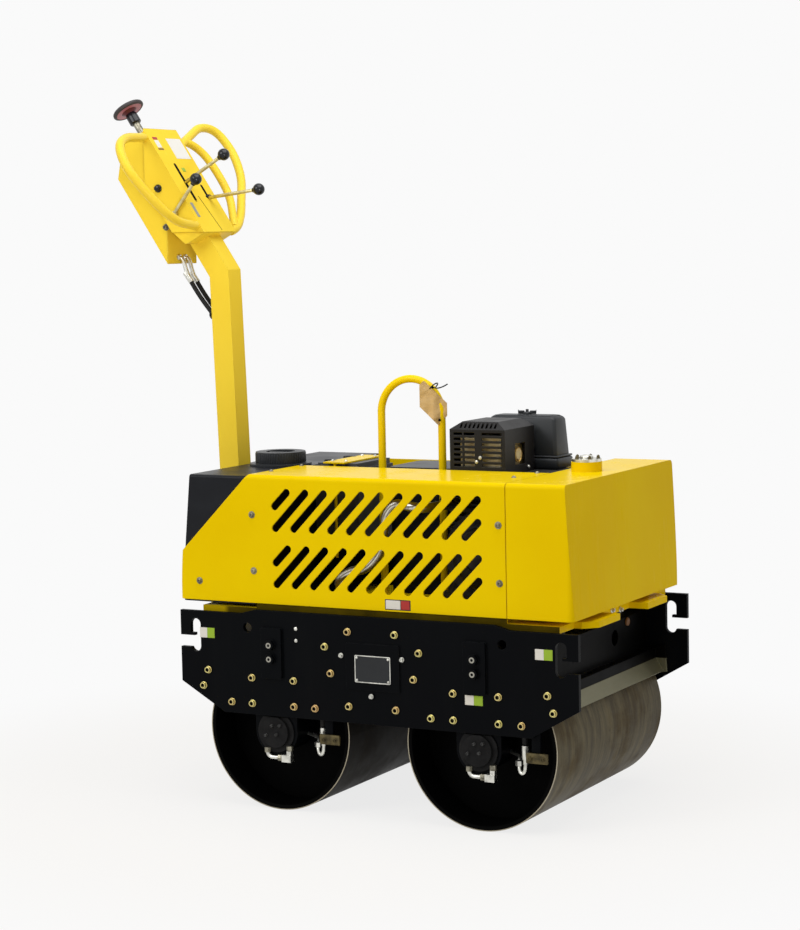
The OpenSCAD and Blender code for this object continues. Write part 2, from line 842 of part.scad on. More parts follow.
// Folded stand under the battery.
module battery_tray() {
    top = battery_at.z - battery_size.z;
    color(black) translate([battery_at.x, battery_at.y, 0]) {
        translate([-battery_size.x / 2, -battery_size.y / 2, top - tray_t])
            cube([battery_size.x, battery_size.y, tray_t]);
        for (s = [0, 1]) mirror([0, s, 0])
            translate([-battery_size.x / 2, battery_size.y / 2 - tray_t, upper_z1])
                cube([battery_size.x, tray_t, top - upper_z1]);
    }
}
module battery() {
    foot = [battery_at.x, battery_at.y, battery_at.z - battery_size.z];
    color(black) translate(foot) {
        translate([-battery_size.x / 2, -battery_size.y / 2, 0]) cube(battery_size - [0, 0, lid_h]);
        translate([lid_step - battery_size.x / 2, lid_step - battery_size.y / 2, 0])
            cube(battery_size - [2 * lid_step, 2 * lid_step, 0]);
    }
}

// Hold-down bar across the battery, with a rod at each end.
module battery_strap() {
    color(yellow) translate([battery_at.x, battery_at.y, battery_at.z]) {
        translate([-strap_w / 2, -battery_size.y / 2 - strap_over, 0])
            cube([strap_w, battery_size.y + 2 * strap_over, tray_t]);
        for (s = [-1, 1]) translate([0, s * (battery_size.y + strap_over) / 2, -battery_size.z - strap_hook])
            cylinder(d = strap_rod_d, h = battery_size.z + strap_hook + tray_t / 2);
    }
}

// Rounded block of the engine, a share of its length and width, between two heights.
module engine_layer(share, z0, z1) {
    size = [share.x * engine_l, share.y * engine_w];
    translate([0, 0, z0]) linear_extrude(z1 - z0) translate(-size / 2) round_rect(size, engine_r, $fn = 16);
}

// Crankcase on two feet, finned cylinder, blower housing with its starter, and the deck above.
module engine_block() {
    tall = engine_top - upper_z1;
    case_h = tall / 2;
    deck_z = tall - engine_deck_t;
    color([0.2, 0.2, 0.2]) translate([engine_x, engine_y, upper_z1]) {
        for (s = [-1, 1]) translate([-engine_l / 2, (0.56 * s - 0.16) * engine_w / 2, 0])
            cube([engine_l, 0.16 * engine_w, 2 * engine_foot]);
        engine_layer([0.86, 0.8], engine_foot, case_h);
        engine_layer([0.6, 0.56], case_h - engine_foot, tall - engine_deck_t / 2);
        for (z = [case_h + fin_pitch / 2 : fin_pitch : deck_z - fin_pitch / 2])
            engine_layer([0.84, 0.78], z, z + fin_t);
        translate([-engine_l / 2, -engine_w / 2, deck_z]) cube([engine_l, engine_w, engine_deck_t]);
        translate([0, 0, 0.4 * tall]) {
            bar_y(blower_d, starter_t - engine_w / 2, -engine_w / 4);
            bar_y(0.7 * blower_d, -engine_w / 2, -engine_w / 4);
        }
    }
}
module fuel_tank() {
    color([0.16, 0.16, 0.17]) translate([fuel_x - fuel_size.x / 2, fuel_y - fuel_size.y / 2, upper_z1])
        linear_extrude(hood_z1 + fuel_over - upper_z1) round_rect(fuel_size, fuel_r);
}

// Outline of the muffler guard across one way, with its top corners cut back, inset by t.
module guard_outline(across, back, t) {
    half = across / 2 - t;
    ridge = across / 2 - back - t / 2;
    shoulder = guard_h - guard_chamfer - t / 2;
    top = guard_h - t;
    polygon([[-half, 0], [half, 0], [half, shoulder], [ridge, top], [-ridge, top], [-half, shoulder]]);
}

// Guard box with all four top edges cut back, inset by t.
module guard_box(t) {
    intersection() {
        rotate([90, 0, 90]) linear_extrude(guard_l - 2 * t, center = true)
            guard_outline(guard_w, guard_chamfer, t);
        rotate([90, 0, 0]) linear_extrude(guard_w - 2 * t, center = true)
            guard_outline(guard_l, guard_end, t);
    }
}

// Slotted guard box over the muffler, open below.
module muffler_guard() {
    t = guard_t;
    near = -guard_w / 2;
    slit = guard_chamfer - 2 * slit_edge;
    slit_x = -(slit_count - 1) * slit_pitch / 2;
    color(black) translate([guard_x, guard_y, engine_top]) difference() {
        guard_box(0);
        translate([0, 0, -1]) guard_box(t);
        for (i = [0 : row_count - 1])
            for (x = guard_rows)
                translate([x[0], near - 1, row_z + i * row_pitch]) cube([x[1], t + 2, row_h]);
        for (i = [0 : slit_count - 1])
            translate([slit_x + i * slit_pitch, near + guard_chamfer / 2, guard_h - guard_chamfer / 2])
                cube([slit_w, slit, slit], center = true);
        translate([guard_l / 2 - t - 1, tail_y - tail_window.x / 2, tail_z - tail_window.y / 2])
            cube([t + 2, tail_window.x, tail_window.y]);
    }
}

// Muffler can and tail pipe inside the guard.
module muffler() {
    color([0.55, 0.47, 0.33]) translate([guard_x, guard_y, engine_top]) {
        translate([can_gap - guard_l / 2, can_gap - guard_w / 2, 0])
            cube([guard_l - 2 * can_gap, guard_w - 2 * can_gap, guard_h - 2 * can_gap]);
        translate([0, tail_y, tail_z]) rotate([0, 90, 0]) cylinder(d = tail_d, h = guard_l / 2 - guard_t);
    }
}

// Domed air cleaner with a step flange and a wing nut.
module air_cleaner() {
    size = [cleaner_l, cleaner_w];
    dome = size - 2 * [cleaner_step, cleaner_step];
    color(black) translate([cleaner_x, cleaner_y, engine_top]) {
        linear_extrude(cleaner_base) translate(-size / 2) round_rect(size, cleaner_r);
        translate([0, 0, cleaner_base / 2]) linear_extrude(cleaner_h - cleaner_base / 2, scale = 0.86)
            translate(-dome / 2) round_rect(dome, cleaner_r - 2);
        cylinder(d = wing_nut_d, h = cleaner_h + wing_rise + wing_t);
        translate([-wing_l / 2, -wing_t / 2, cleaner_h + wing_rise]) cube([wing_l, wing_t, wing_t]);
    }
}

// Lifting hoop, standing on the upper frame.
module lifting_hoop() {
    top = hood_z1 + hoop_rise - hoop_d / 2;
    leg = hoop_w / 2;
    color(yellow) translate([hoop_x, 0, 0]) rotate([90, 0, 0])
        bent_tube([[-leg, upper_z1], [-leg, top], [leg, top], [leg, upper_z1]], leg, hoop_d);
}

// Handle

// Two bored ears on a base plate behind the hood.
module handle_bracket() {
    ear_y = column_w / 2 + ear_gap;
    base = [2 * ear_r, 2 * (ear_y + ear_t) + ear_gap, foot_margin];
    color(yellow) translate([pivot_x, 0, 0]) difference() {
        union() {
            translate([-ear_r - ear_back, -base.y / 2, upper_z1]) cube(base);
            for (s = [-1, 1]) translate([0, s * (ear_y + ear_t / 2), 0]) upright(-ear_t / 2, ear_t / 2) {
                translate([-ear_r, upper_z1]) square([2 * ear_r - ear_back, pivot_rise]);
                translate([0, pivot_z]) circle(ear_r);
            }
        }
        translate([0, 0, pivot_z]) bar_y(pivot_d + 2 * pin_slack, -base.y, base.y);
    }
}

// Fold pivot pin with a head and a washer.
module pivot_pin() {
    half = column_w / 2 + ear_gap + ear_t;
    color(steel) translate([pivot_x, 0, pivot_z]) {
        bar_y(pivot_d, -half - pin_over, half + pin_over);
        bar_y(pivot_d + 2 * pin_head.x, -half - pin_head.y, -half - pin_slack);
        bar_y(pivot_d + 2 * pin_washer.x, half + pin_slack, half + pin_washer.y);
    }
}

// Outline of the bent column, in X and Z, half the width w.
module column_outline(w, foot, top) {
    lean_side = [cos(column_lean), sin(column_lean)];
    head_side = [cos(head_tilt), sin(head_tilt)];
    mid_tilt = (column_lean + head_tilt) / 2;
    mitre = [cos(mid_tilt), sin(mid_tilt)] / cos((head_tilt - column_lean) / 2);
    low = [pivot_x, pivot_z] + foot * [sin(column_lean), -cos(column_lean)];
    bend = [bend_x, bend_z];
    high = bend + (neck_run + column_w) * [-sin(head_tilt), cos(head_tilt)];
    intersection() {
        union() {
            polygon([low - w * lean_side, low + w * lean_side, bend + w * mitre, high + w * head_side,
                high - w * head_side, bend - w * mitre]);
            translate(low) circle(w);
        }
        translate([bend.x - column_len, 0]) square([2 * column_len, top]);
    }
}

// Square tube column with its bushing at the foot.
module steering_column() {
    half = column_w / 2;
    color(yellow) difference() {
        upright(-half, half) column_outline(half, 0, head_z - seat_gap);
        upright(column_wall - half, half - column_wall)
            column_outline(half - column_wall, -column_w, head_z - column_wall);
        translate([pivot_x, 0, pivot_z]) bar_y(pivot_d + 2 * run_gap, -column_w, column_w);
    }
}

// Frame of the control head: X out of the panel, Z up along it.
module at_head() { translate([head_x, 0, head_z]) rotate([0, -head_tilt, 0]) children(); }

// Lid of the control head, with the slotted panel in front.
module console_cover() {
    t = cover_t;
    low = cover_depth * tan(head_tilt);
    high = panel_l - cover_depth / tan(head_tilt);
    over = cover_depth + 1;
    half = cover_w / 2;
    color(yellow) at_head() difference() {
        upright(-half, half) polygon([[0, 0], [0, panel_l], [-cover_depth, high], [-cover_depth, low]]);
        upright(t - half, half - t) polygon([
            [-t, 1.5 * t], [-t, panel_l + 1], [-over, panel_l + 1], [-over, low + 1.5 * t]
        ]);
        translate([1, 0, 0]) rotate([0, -90, 0]) linear_extrude(t + 2) {
            for (k = [travel_slot, vibration_slot]) slot_2d([k[1], k[0]], [k[2], k[0]], slot_w);
        }
    }
}

// Outline of the deep rear housing, inset by t, in the control head's frame.
module housing_outline(t) {
    depth = head_depth - t;
    lip = cover_depth + housing_lip - t;
    sill = 1.5 * t;
    polygon([
        [-cover_t, housing_sill + t], [-cover_t, panel_l - cover_t - t],
        [-shoulder.x, panel_l + shoulder.y - t], [-depth, panel_l - shoulder_drop - t],
        [-depth, sill], [-lip, (depth - lip) / tan(head_tilt) + sill]
    ]);
}

// Deep tray of the control head, open towards the panel, with the boss of the stop button.
module console_housing() {
    half = housing_w / 2;
    color(yellow) at_head() {
        difference() {
            upright(-half, half) housing_outline(0);
            translate([1, 0, 0]) upright(cover_t - half, half - cover_t) housing_outline(cover_t);
        }
        translate([stop_n, 0, stop_seat - stop_hub.y]) cylinder(d = stop_hub.x, h = stop_hub.y);
    }
}

// Length that the bend at corner i may take off its legs: half a leg, or nearly all of an end leg.
function bend_room(p, i) = min(
    norm(p[i] - p[i - 1]) * (i == 1 ? 0.98 : 0.49),
    norm(p[i + 1] - p[i]) * (i == len(p) - 2 ? 0.98 : 0.49)
);
// Points along a line of corners, with bends as wide as their legs allow, up to radius r, drawn in steps.
function rounded_line(p, r, steps) = [
    p[0],
    for (i = [1 : len(p) - 2])
        let (
            dir = heading(p[i - 1], p[i]),
            turn = turn_at(p[i - 1], p[i], p[i + 1]),
            bend = min(r, bend_room(p, i) / tan(abs(turn) / 2)),
            start = p[i] - dir * bend * tan(abs(turn) / 2),
            centre = start + sign(turn) * bend * [-dir.y, dir.x],
            first = atan2(dir.y, dir.x) - sign(turn) * 90
        )
        for (k = [0 : steps]) centre + bend * [cos(first + turn * k / steps), sin(first + turn * k / steps)],
    p[len(p) - 1]
];
// Direction across a line of points at point i, in its plane, lengthened at a corner.
function across(p, i) =
    let (
        d1 = heading(p[max(i - 1, 0)], p[max(i, 1)]),
        d2 = heading(p[min(i, len(p) - 2)], p[min(i + 1, len(p) - 1)]),
        mid = (d1 + d2) / norm(d1 + d2)
    )
    [-mid.y, mid.x] / (mid * d1);

// Faceted round tube in the XY plane along a line of points.
module swept_tube(p, d) {
    sides = 20;
    rings = len(p);
    points = [
        for (i = [0 : rings - 1])
            let (side = across(p, i))
            for (k = [0 : sides - 1])
                let (a = 360 * k / sides, flat = p[i] + side * cos(a) * d / 2)
                [flat.x, flat.y, sin(a) * d / 2]
    ];
    walls = [
        for (i = [0 : rings - 2])
            for (k = [0 : sides - 1])
                let (a = i * sides + k, b = i * sides + (k + 1) % sides)
                [a, a + sides, b + sides, b]
    ];
    ends = [[for (k = [0 : sides - 1]) k], [for (k = [sides - 1 : -1 : 0]) (rings - 1) * sides + k]];
    polyhedron(points, concat(walls, ends));
}

// Bent tube of diameter d on the left of the control head, splayed forward and cut flush with the cover.
module grip_tube(corners, d) {
    side = cover_w / 2;
    at_head() difference() {
        translate([-d / 2, side, 0]) rotate(-grip_splay) translate([0, -side, 0]) rotate([90, 0, 90])
            swept_tube(rounded_line(corners, grip_reach, 6), d);
        translate([-head_depth, -side, -panel_l]) cube([2 * head_depth, 2 * side, 3 * panel_l]);
    }
}
module hand_loop_right() { color(yellow) mirror([0, 1, 0]) grip_tube(loop_right, grip_d); }

// The left loop rises higher and has a second bar inside it.
module hand_loop_left() {
    color(yellow) {
        grip_tube(loop_left, grip_d);
        grip_tube(loop_bar, bar_d);
    }
}

// Rod with a ball knob, from foot to tip.
module ball_lever(foot, tip) {
    color(zinc) rod(foot, tip, rod_d);
    color(black) translate(tip) sphere(d = ball_d);
}
module travel_lever() {
    at_head() ball_lever([rod_d / 16, travel_slot[0], (travel_slot[1] + travel_slot[2]) / 2], travel_tip);
}
module vibration_lever() {
    at_head() ball_lever([rod_d / 4, vibration_slot[0], vibration_slot[1] + seat_gap], vibration_tip);
}
module throttle_lever() {
    side = [0, -cover_w / 2, 0];
    at_head() {
        ball_lever(side + throttle_foot, side + throttle_tip);
        color(zinc) translate([throttle_foot.x, 0, throttle_foot.z])
            bar_y(throttle_hub.x, side.y - throttle_hub.y, side.y);
    }
}

// Stop button with its hub and shaft, along the control head.
module stop_button() {
    at_head() translate([stop_n, 0, 0]) {
        color(steel) translate([0, 0, stop_seat]) cylinder(d = stop_shaft_d, h = stop_t - stop_seat - stop_r);
        color(black) translate([0, 0, stop_t - stop_hub.y]) cylinder(d = stop_hub.x, h = stop_hub.y);
        color([0.5, 0.05, 0.08]) translate([0, 0, stop_t]) rotate_extrude() {
            translate([0, -stop_r]) square([stop_d / 2 - stop_r, 2 * stop_r]);
            translate([stop_d / 2 - stop_r, 0]) intersection() {
                circle(stop_r);
                translate([-1, -stop_r]) square([stop_r + 1, 2 * stop_r]);
            }
        }
    }
}

// Two hoses from the head's lower end into the back of the column.
module control_hoses() {
    z0 = head_z - head_depth * sin(head_tilt) + hose_lift;
    z1 = z0 - hose_drop;
    start = housing_x + hose_nut;
    rear_x = pivot_x - (z1 - pivot_z) * tan(column_lean) - column_w / 2 / cos(column_lean) - part_gap;
    line = [[start - hose_d / 2, z0], [start + hose_d, z0], [rear_x - 2 * hose_d, z1], [rear_x, z1]];
    for (y = hose_ys) color(rubber) translate([0, y, 0]) {
        translate([housing_x, 0, z0]) rotate([0, 90, 0]) cylinder(d = hose_d + 6, h = hose_nut);
        rotate([90, 0, 0]) swept_tube(rounded_line(line, hose_bend, 6), hose_d);
    }
}

placed() side_plate_right();
placed() side_plate_left();
placed() centre_beam();
placed() front_crossmember();
placed() rear_crossmember();
placed() carrier_front_right();
placed() carrier_front_left();
placed() carrier_rear_right();
placed() carrier_rear_left();
placed() drive_motor_front();
placed() drive_motor_rear();
placed() motor_pipes_front();
placed() motor_pipes_rear();
placed() rubber_buffers();
placed() upper_frame();
placed() hood_panel_right();
placed() hood_panel_left();
placed() hydraulic_tank();
placed() filler_cap();
placed() water_tank();
placed() water_cap();
placed() battery_tray();
placed() battery();
placed() battery_strap();
placed() engine_block();
placed() fuel_tank();
placed() muffler_guard();
placed() muffler();
placed() air_cleaner();
placed() lifting_hoop();
placed() handle_bracket();
placed() pivot_pin();
placed() front_drum();
placed() rear_drum();
placed() steering_column();
placed() console_housing();
placed() console_cover();
placed() hand_loop_right();
placed() hand_loop_left();
placed() travel_lever();
placed() vibration_lever();
placed() throttle_lever();
placed() stop_button();
placed() control_hoses();
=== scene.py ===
"""Looks of the walk-behind double-drum roller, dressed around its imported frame."""

import math
from contextlib import contextmanager

import bmesh
import bpy
from mathutils import Matrix, Vector


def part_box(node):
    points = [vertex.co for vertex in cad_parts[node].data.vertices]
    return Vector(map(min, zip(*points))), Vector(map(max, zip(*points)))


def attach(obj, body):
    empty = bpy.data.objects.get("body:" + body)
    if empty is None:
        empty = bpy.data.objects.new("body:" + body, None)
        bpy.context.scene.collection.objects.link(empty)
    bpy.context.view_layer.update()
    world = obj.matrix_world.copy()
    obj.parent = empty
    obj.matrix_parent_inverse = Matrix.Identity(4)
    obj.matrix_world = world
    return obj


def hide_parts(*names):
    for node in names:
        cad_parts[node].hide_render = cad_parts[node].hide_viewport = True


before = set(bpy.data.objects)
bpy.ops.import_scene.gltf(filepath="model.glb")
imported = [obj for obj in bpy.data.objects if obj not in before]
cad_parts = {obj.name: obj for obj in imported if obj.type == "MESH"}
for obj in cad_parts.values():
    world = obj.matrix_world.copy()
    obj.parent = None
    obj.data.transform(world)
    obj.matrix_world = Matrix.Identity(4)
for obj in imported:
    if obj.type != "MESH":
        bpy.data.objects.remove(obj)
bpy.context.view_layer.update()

MM = 0.001


def box_of(node):
    """A CAD node's lowest corner, highest corner and middle."""
    low, high = (Vector(corner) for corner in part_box(node))
    return low, high, (low + high) / 2


FRONT_AXLE = box_of("front_drum")[2]
REAR_AXLE = box_of("rear_drum")[2]
MID_X = (FRONT_AXLE.x + REAR_AXLE.x) / 2


def at(x, y, z):
    """A place in millimetres, counted from the ground under the middle of the wheelbase."""
    return Vector((MID_X + x * MM, y * MM, z * MM))


def shift(x, y, z):
    """A move by millimetres."""
    return Matrix.Translation((x * MM, y * MM, z * MM))


def placed(name, data):
    """A new object in the scene."""
    made = bpy.data.objects.new(name, data)
    bpy.context.scene.collection.objects.link(made)
    return made


# Camera, fitted to the photograph's 800 x 930 frame
CAMERA_PLACE = at(2834.6, -5384.7, 1436.2)
CAMERA_YAW = 0.471
CAMERA_PITCH = 0.0935
CAMERA_ROLL = -0.0178
FOCAL_PX = 2379.5
CENTRE_PX = (466.4, 460.2)
IMAGE_PX = (800, 930)
SENSOR = 36.0


def make_camera():
    fwd = Vector((-math.sin(CAMERA_YAW) * math.cos(CAMERA_PITCH),
                  math.cos(CAMERA_YAW) * math.cos(CAMERA_PITCH), -math.sin(CAMERA_PITCH)))
    flat = Vector((math.cos(CAMERA_YAW), math.sin(CAMERA_YAW), 0))
    upright = flat.cross(fwd)
    right = math.cos(CAMERA_ROLL) * flat + math.sin(CAMERA_ROLL) * upright
    up = math.cos(CAMERA_ROLL) * upright - math.sin(CAMERA_ROLL) * flat
    lens = bpy.data.cameras.new("photo_camera")
    lens.sensor_fit = "VERTICAL"
    lens.sensor_height = SENSOR
    lens.lens = FOCAL_PX * SENSOR / IMAGE_PX[1]
    lens.shift_x = (IMAGE_PX[0] / 2 - CENTRE_PX[0]) / IMAGE_PX[1]
    lens.shift_y = (CENTRE_PX[1] - IMAGE_PX[1] / 2) / IMAGE_PX[1]
    camera = placed("photo_camera", lens)
    turn = Matrix((right, up, -fwd)).transposed().to_4x4()
    camera.matrix_world = Matrix.Translation(CAMERA_PLACE) @ turn
    bpy.context.scene.camera = camera


# Materials

def srgb(r, g, b):
    """A colour as it looks on a screen, 0 to 255, made linear."""
    line = [(c / 255 / 12.92 if c <= 10 else ((c / 255 + 0.055) / 1.055) ** 2.4) for c in (r, g, b)]
    return (*line, 1.0)


class Shade:
    """A socket of a node tree. Python's operators on it add Math nodes."""

    def __init__(self, tree, socket):
        self.tree = tree
        self.socket = socket

    def node(self, kind, settings=None, inputs=None, out=0):
        made = self.tree.nodes.new(kind)
        for key, value in (settings or {}).items():
            setattr(made, key, value)
        for key, value in (inputs or {}).items():
            if isinstance(value, Shade):
                self.tree.links.new(value.socket, made.inputs[key])
            else:
                made.inputs[key].default_value = value
        return Shade(self.tree, made.outputs[out])

    def maths(self, operation, *values, clamp=False):
        settings = {"operation": operation, "use_clamp": clamp}
        return self.node("ShaderNodeMath", settings, dict(enumerate(values)))

    def __add__(self, other):
        return self.maths("ADD", self, other)

    def __sub__(self, other):
        return self.maths("SUBTRACT", self, other)

    def __rsub__(self, other):
        return self.maths("SUBTRACT", other, self)

    def __mul__(self, other):
        return self.maths("MULTIPLY", self, other)

    __radd__ = __add__
    __rmul__ = __mul__

    def absolute(self):
        return self.maths("ABSOLUTE", self)

    def vector(self, operation, *others, out=0):
        """Vector maths on this vector."""
        inputs = dict(enumerate((self, *others)))
        return self.node("ShaderNodeVectorMath", {"operation": operation}, inputs, out)

    def step(self, low, high):
        """0 below low, 1 above high, smooth between them."""
        return self.node("ShaderNodeMapRange", {"interpolation_type": "SMOOTHSTEP"},
                         {"Value": self, "From Min": low, "From Max": high})

    def noise(self, scale, detail=3.0, rough=0.55, stretch=(1, 1, 1)):
        """Noise between 0 and 1 on this vector, stretched along its axes."""
        where = self
        if stretch != (1, 1, 1):
            where = self.node("ShaderNodeMapping", None, {"Vector": self, "Scale": stretch})
        return self.node("ShaderNodeTexNoise", None,
                         {"Vector": where, "Scale": scale, "Detail": detail, "Roughness": rough})

    def mix(self, first, second):
        """The first colour where this is 0, the second where it is 1, given as nodes or as screen colours."""
        first, second = (end if isinstance(end, Shade) else srgb(*end) for end in (first, second))
        return self.node("ShaderNodeMix", {"data_type": "RGBA"}, {0: self, 6: first, 7: second}, out=2)

    def part(self, axis):
        """One of the three numbers of this vector."""
        return self.node("ShaderNodeSeparateXYZ", None, {0: self}, out="XYZ".index(axis))

    def edges(self, radius):
        """Normal rounded at sharp edges, and how much it was turned there."""
        soft = self.node("ShaderNodeBevel", {"samples": 4}, {"Radius": radius})
        flat = self.node("ShaderNodeNewGeometry", out="Normal")
        return soft, (1 - soft.vector("DOT_PRODUCT", flat, out="Value")).step(0.03, 0.25)

    def bump(self, height, strength, distance, normal=None):
        inputs = {"Height": height, "Strength": strength, "Distance": distance}
        if normal is not None:
            inputs["Normal"] = normal
        return self.node("ShaderNodeBump", None, inputs)


FINISHES = {}


def finish(name, **constants):
    """A new material: its object coordinates, and a function that links its varying sockets."""
    made = bpy.data.materials.new(name)
    made.use_nodes = True
    tree = made.node_tree
    shader = tree.nodes["Principled BSDF"]
    for key, value in constants.items():
        shader.inputs[key.replace("_", " ")].default_value = value
    FINISHES[name] = made

    def feed(**sockets):
        for key, value in sockets.items():
            tree.links.new(value.socket, shader.inputs[key.replace("_", " ")])
    return Shade(tree, tree.nodes.new("ShaderNodeTexCoord").outputs["Object"]), feed


def paint(name, colour, shadow, worn, gloss, dust, dirt, peel, level=0.5, chips=0.55, painted_shade=None, bare=None):
    """Sprayed paint: soft mottling, worn edges, orange peel, and dust that gathers low down."""
    place, feed = finish(name, Specular_IOR_Level=level)
    soft, edge = place.edges(0.0022)
    cloud = place.noise(2.6, 4.0)
    speck = place.noise(70.0, 6.0, 0.7).step(0.62, 0.78)
    streak = place.noise(9.0, 5.0, 0.6, (1, 1, 0.18))
    low = 1 - place.part("Z").step(0.1, 0.75)
    body = cloud.step(0.3, 0.75).mix(colour, shadow)
    dusty = (streak.step(0.5, 0.8) * (0.35 + 0.65 * low) * dirt + speck * dirt * 0.5).mix(body, dust)
    chipped = edge * place.noise(46.0, 4.0, 0.65).step(0.38, 0.62)
    shown = (chipped * chips).mix(dusty, worn)
    # Painted shade: where the mask is 1 the paint turns dark brown, as if in shadow.
    if painted_shade:
        shown = painted_shade(place).mix(shown, (30, 23, 8))
    sockets = {"Roughness": gloss + 0.1 * cloud + 0.16 * streak.step(0.45, 0.8) + 0.12 * speck,
               "Normal": place.bump(place.noise(340.0, 2.0), peel, 0.0006, soft)}
    if bare:
        mask, metal = bare
        shown = mask(place).mix(shown, metal)
        sockets["Metallic"] = mask(place) * 0.8
    feed(Base_Color=shown, **sockets)


# Metres out from the middle, or up, between which one look of a painted node gives way to the next
FRAME_SIDE = (0.3295, 0.3308)
LIP_TOP = (0.3285, 0.3305)
PAD_FACE = (0.3655, 0.366)

# Metres from the machine's middle to an axle, and from a pad's middle to a bolt above or below it
HALF_BASE = 0.285
PAD_BOLT_RISE = 0.0175


def frame_painted_shade(place):
    """1 on the outer sides of the frame: painted shade under the hood, uneven, and half as strong at the rear
    end.
    """
    side = place.part("Y").absolute().step(*FRAME_SIDE)
    rear = 1 - 0.5 * (1 - place.part("X").step(MID_X - 0.44, MID_X - 0.42))
    return side * rear * (0.84 + 0.16 * place.noise(14.0, 4.0))


def lip_wear_and_reflection(place):
    """1 on the lower lip of a crossmember, made pale bare metal: partly rubbed bare by the drum's dirt,
    partly a painted reflection of light on its sloped face.
    """
    # Uneven strength of the wear and the painted reflection along the lip.
    rubbed = 0.75 + 0.25 * place.noise(30.0, 4.0, 0.6, (1, 0.3, 1))
    return (1 - place.part("Z").step(*LIP_TOP)) * rubbed


def pad_bolts(place):
    """1 on a bright ring on the heads of the bolts through the bearing pads."""
    low, high, _ = box_of("side_plate_right")
    up = low.z + 0.6 * (high.z - low.z) + 0.0045
    across = (place.part("X") - MID_X).absolute() - HALF_BASE
    rise = (place.part("Z") - up).absolute() - PAD_BOLT_RISE
    square = across * across + rise * rise
    radius = square.maths("SQRT", square)
    ring = radius.step(0.0033, 0.0039) * (1 - radius.step(0.0068, 0.0074))
    return ring * place.part("Y").absolute().step(*PAD_FACE)


def bare_metal(name, colour, tint, rough, scale, metal=1.0, level=0.5):
    """Plated or bare metal with a stain in a second tint and fine brush marks."""
    place, feed = finish(name, Metallic=metal, Specular_IOR_Level=level)
    soft, edge = place.edges(0.0008)
    stain = place.noise(scale, 4.0, 0.6).step(0.35, 0.7)
    brush = place.noise(scale * 7, 3.0, 0.6)
    feed(Base_Color=stain.mix(colour, tint),
         Roughness=rough + 0.14 * stain + 0.12 * brush - 0.08 * edge,
         Normal=place.bump(brush, 0.1, 0.0004, soft))


def moulded(name, colour, pale, rough=0.32, grain=260.0, level=0.35, coat=0.0):
    """Moulded plastic or rubber: fine grain, a bloom of dust, edges rubbed smooth."""
    place, feed = finish(name, Specular_IOR_Level=level, Coat_Weight=coat, Coat_Roughness=0.08)
    soft, edge = place.edges(0.0016)
    bloom = place.noise(7.0, 5.0, 0.62).step(0.4, 0.8)
    speck = place.noise(110.0, 4.0, 0.7).step(0.66, 0.8)
    feed(Base_Color=(bloom * 0.45 + speck * 0.3 + edge * 0.3).mix(colour, pale),
         Roughness=rough + 0.15 * bloom - 0.1 * edge,
         Normal=place.bump(place.noise(grain, 2.0, 0.6), 0.12, 0.0005, soft))


# Metres from the axle, and from the drum's middle, between which one look of the drum gives way to the next
SHELL_INSIDE = (0.1975, 0.1985)
RIM_INSIDE = (0.2002, 0.2008)
DRUM_END = (0.3235, 0.3245)


def drum_finish(name, axle, steel_tones, brown_tone, metal):
    """Rolled steel: streaks around the drum, brown patches, a bright rim, and a near-black inside that is
    partly dark paint and partly painted shade.
    """
    place, feed = finish(name, Specular_IOR_Level=0.03)
    out = place.vector("SUBTRACT", tuple(axle))
    spoke = out.vector("MULTIPLY", (1, 0, 1))
    radius = spoke.vector("LENGTH", out="Value")
    wrapped = spoke.vector("NORMALIZE").vector("ADD", out.vector("MULTIPLY", (0, 34, 0)))
    streak = wrapped.noise(1.5, 6.0, 0.66)
    fine = wrapped.noise(9.0, 4.0, 0.6)
    patch = place.noise(5.5, 6.0, 0.62).step(0.44, 0.68)
    speck = place.noise(38.0, 5.0, 0.7).step(0.56, 0.72)
    steel = streak.step(0.3, 0.72).mix(*steel_tones)
    brown = (patch * 0.5).mix(steel, brown_tone)
    spotted = (speck * 0.35).mix(brown, (44, 38, 31))
    end = out.part("Y").absolute().step(*DRUM_END)
    rim = radius.step(*RIM_INSIDE)
    edge = (end * rim * (0.55 + 0.45 * fine)).mix(spotted, (188, 182, 164))
    # Inside the shell, and on the end faces within the rim: near-black, dark paint deepened with painted
    # shade.
    hollow = 1 - radius.step(*SHELL_INSIDE)
    inside = hollow.maths("MAXIMUM", hollow, end * (1 - rim))
    feed(Base_Color=inside.mix(edge, (3, 3, 3)),
         Metallic=(1 - inside) * (1 - 0.6 * patch) * metal,
         Roughness=0.36 + 0.2 * streak + 0.14 * patch + 0.1 * inside,
         Normal=place.bump(fine * 0.5 + speck * 0.5, 0.16, 0.0006))


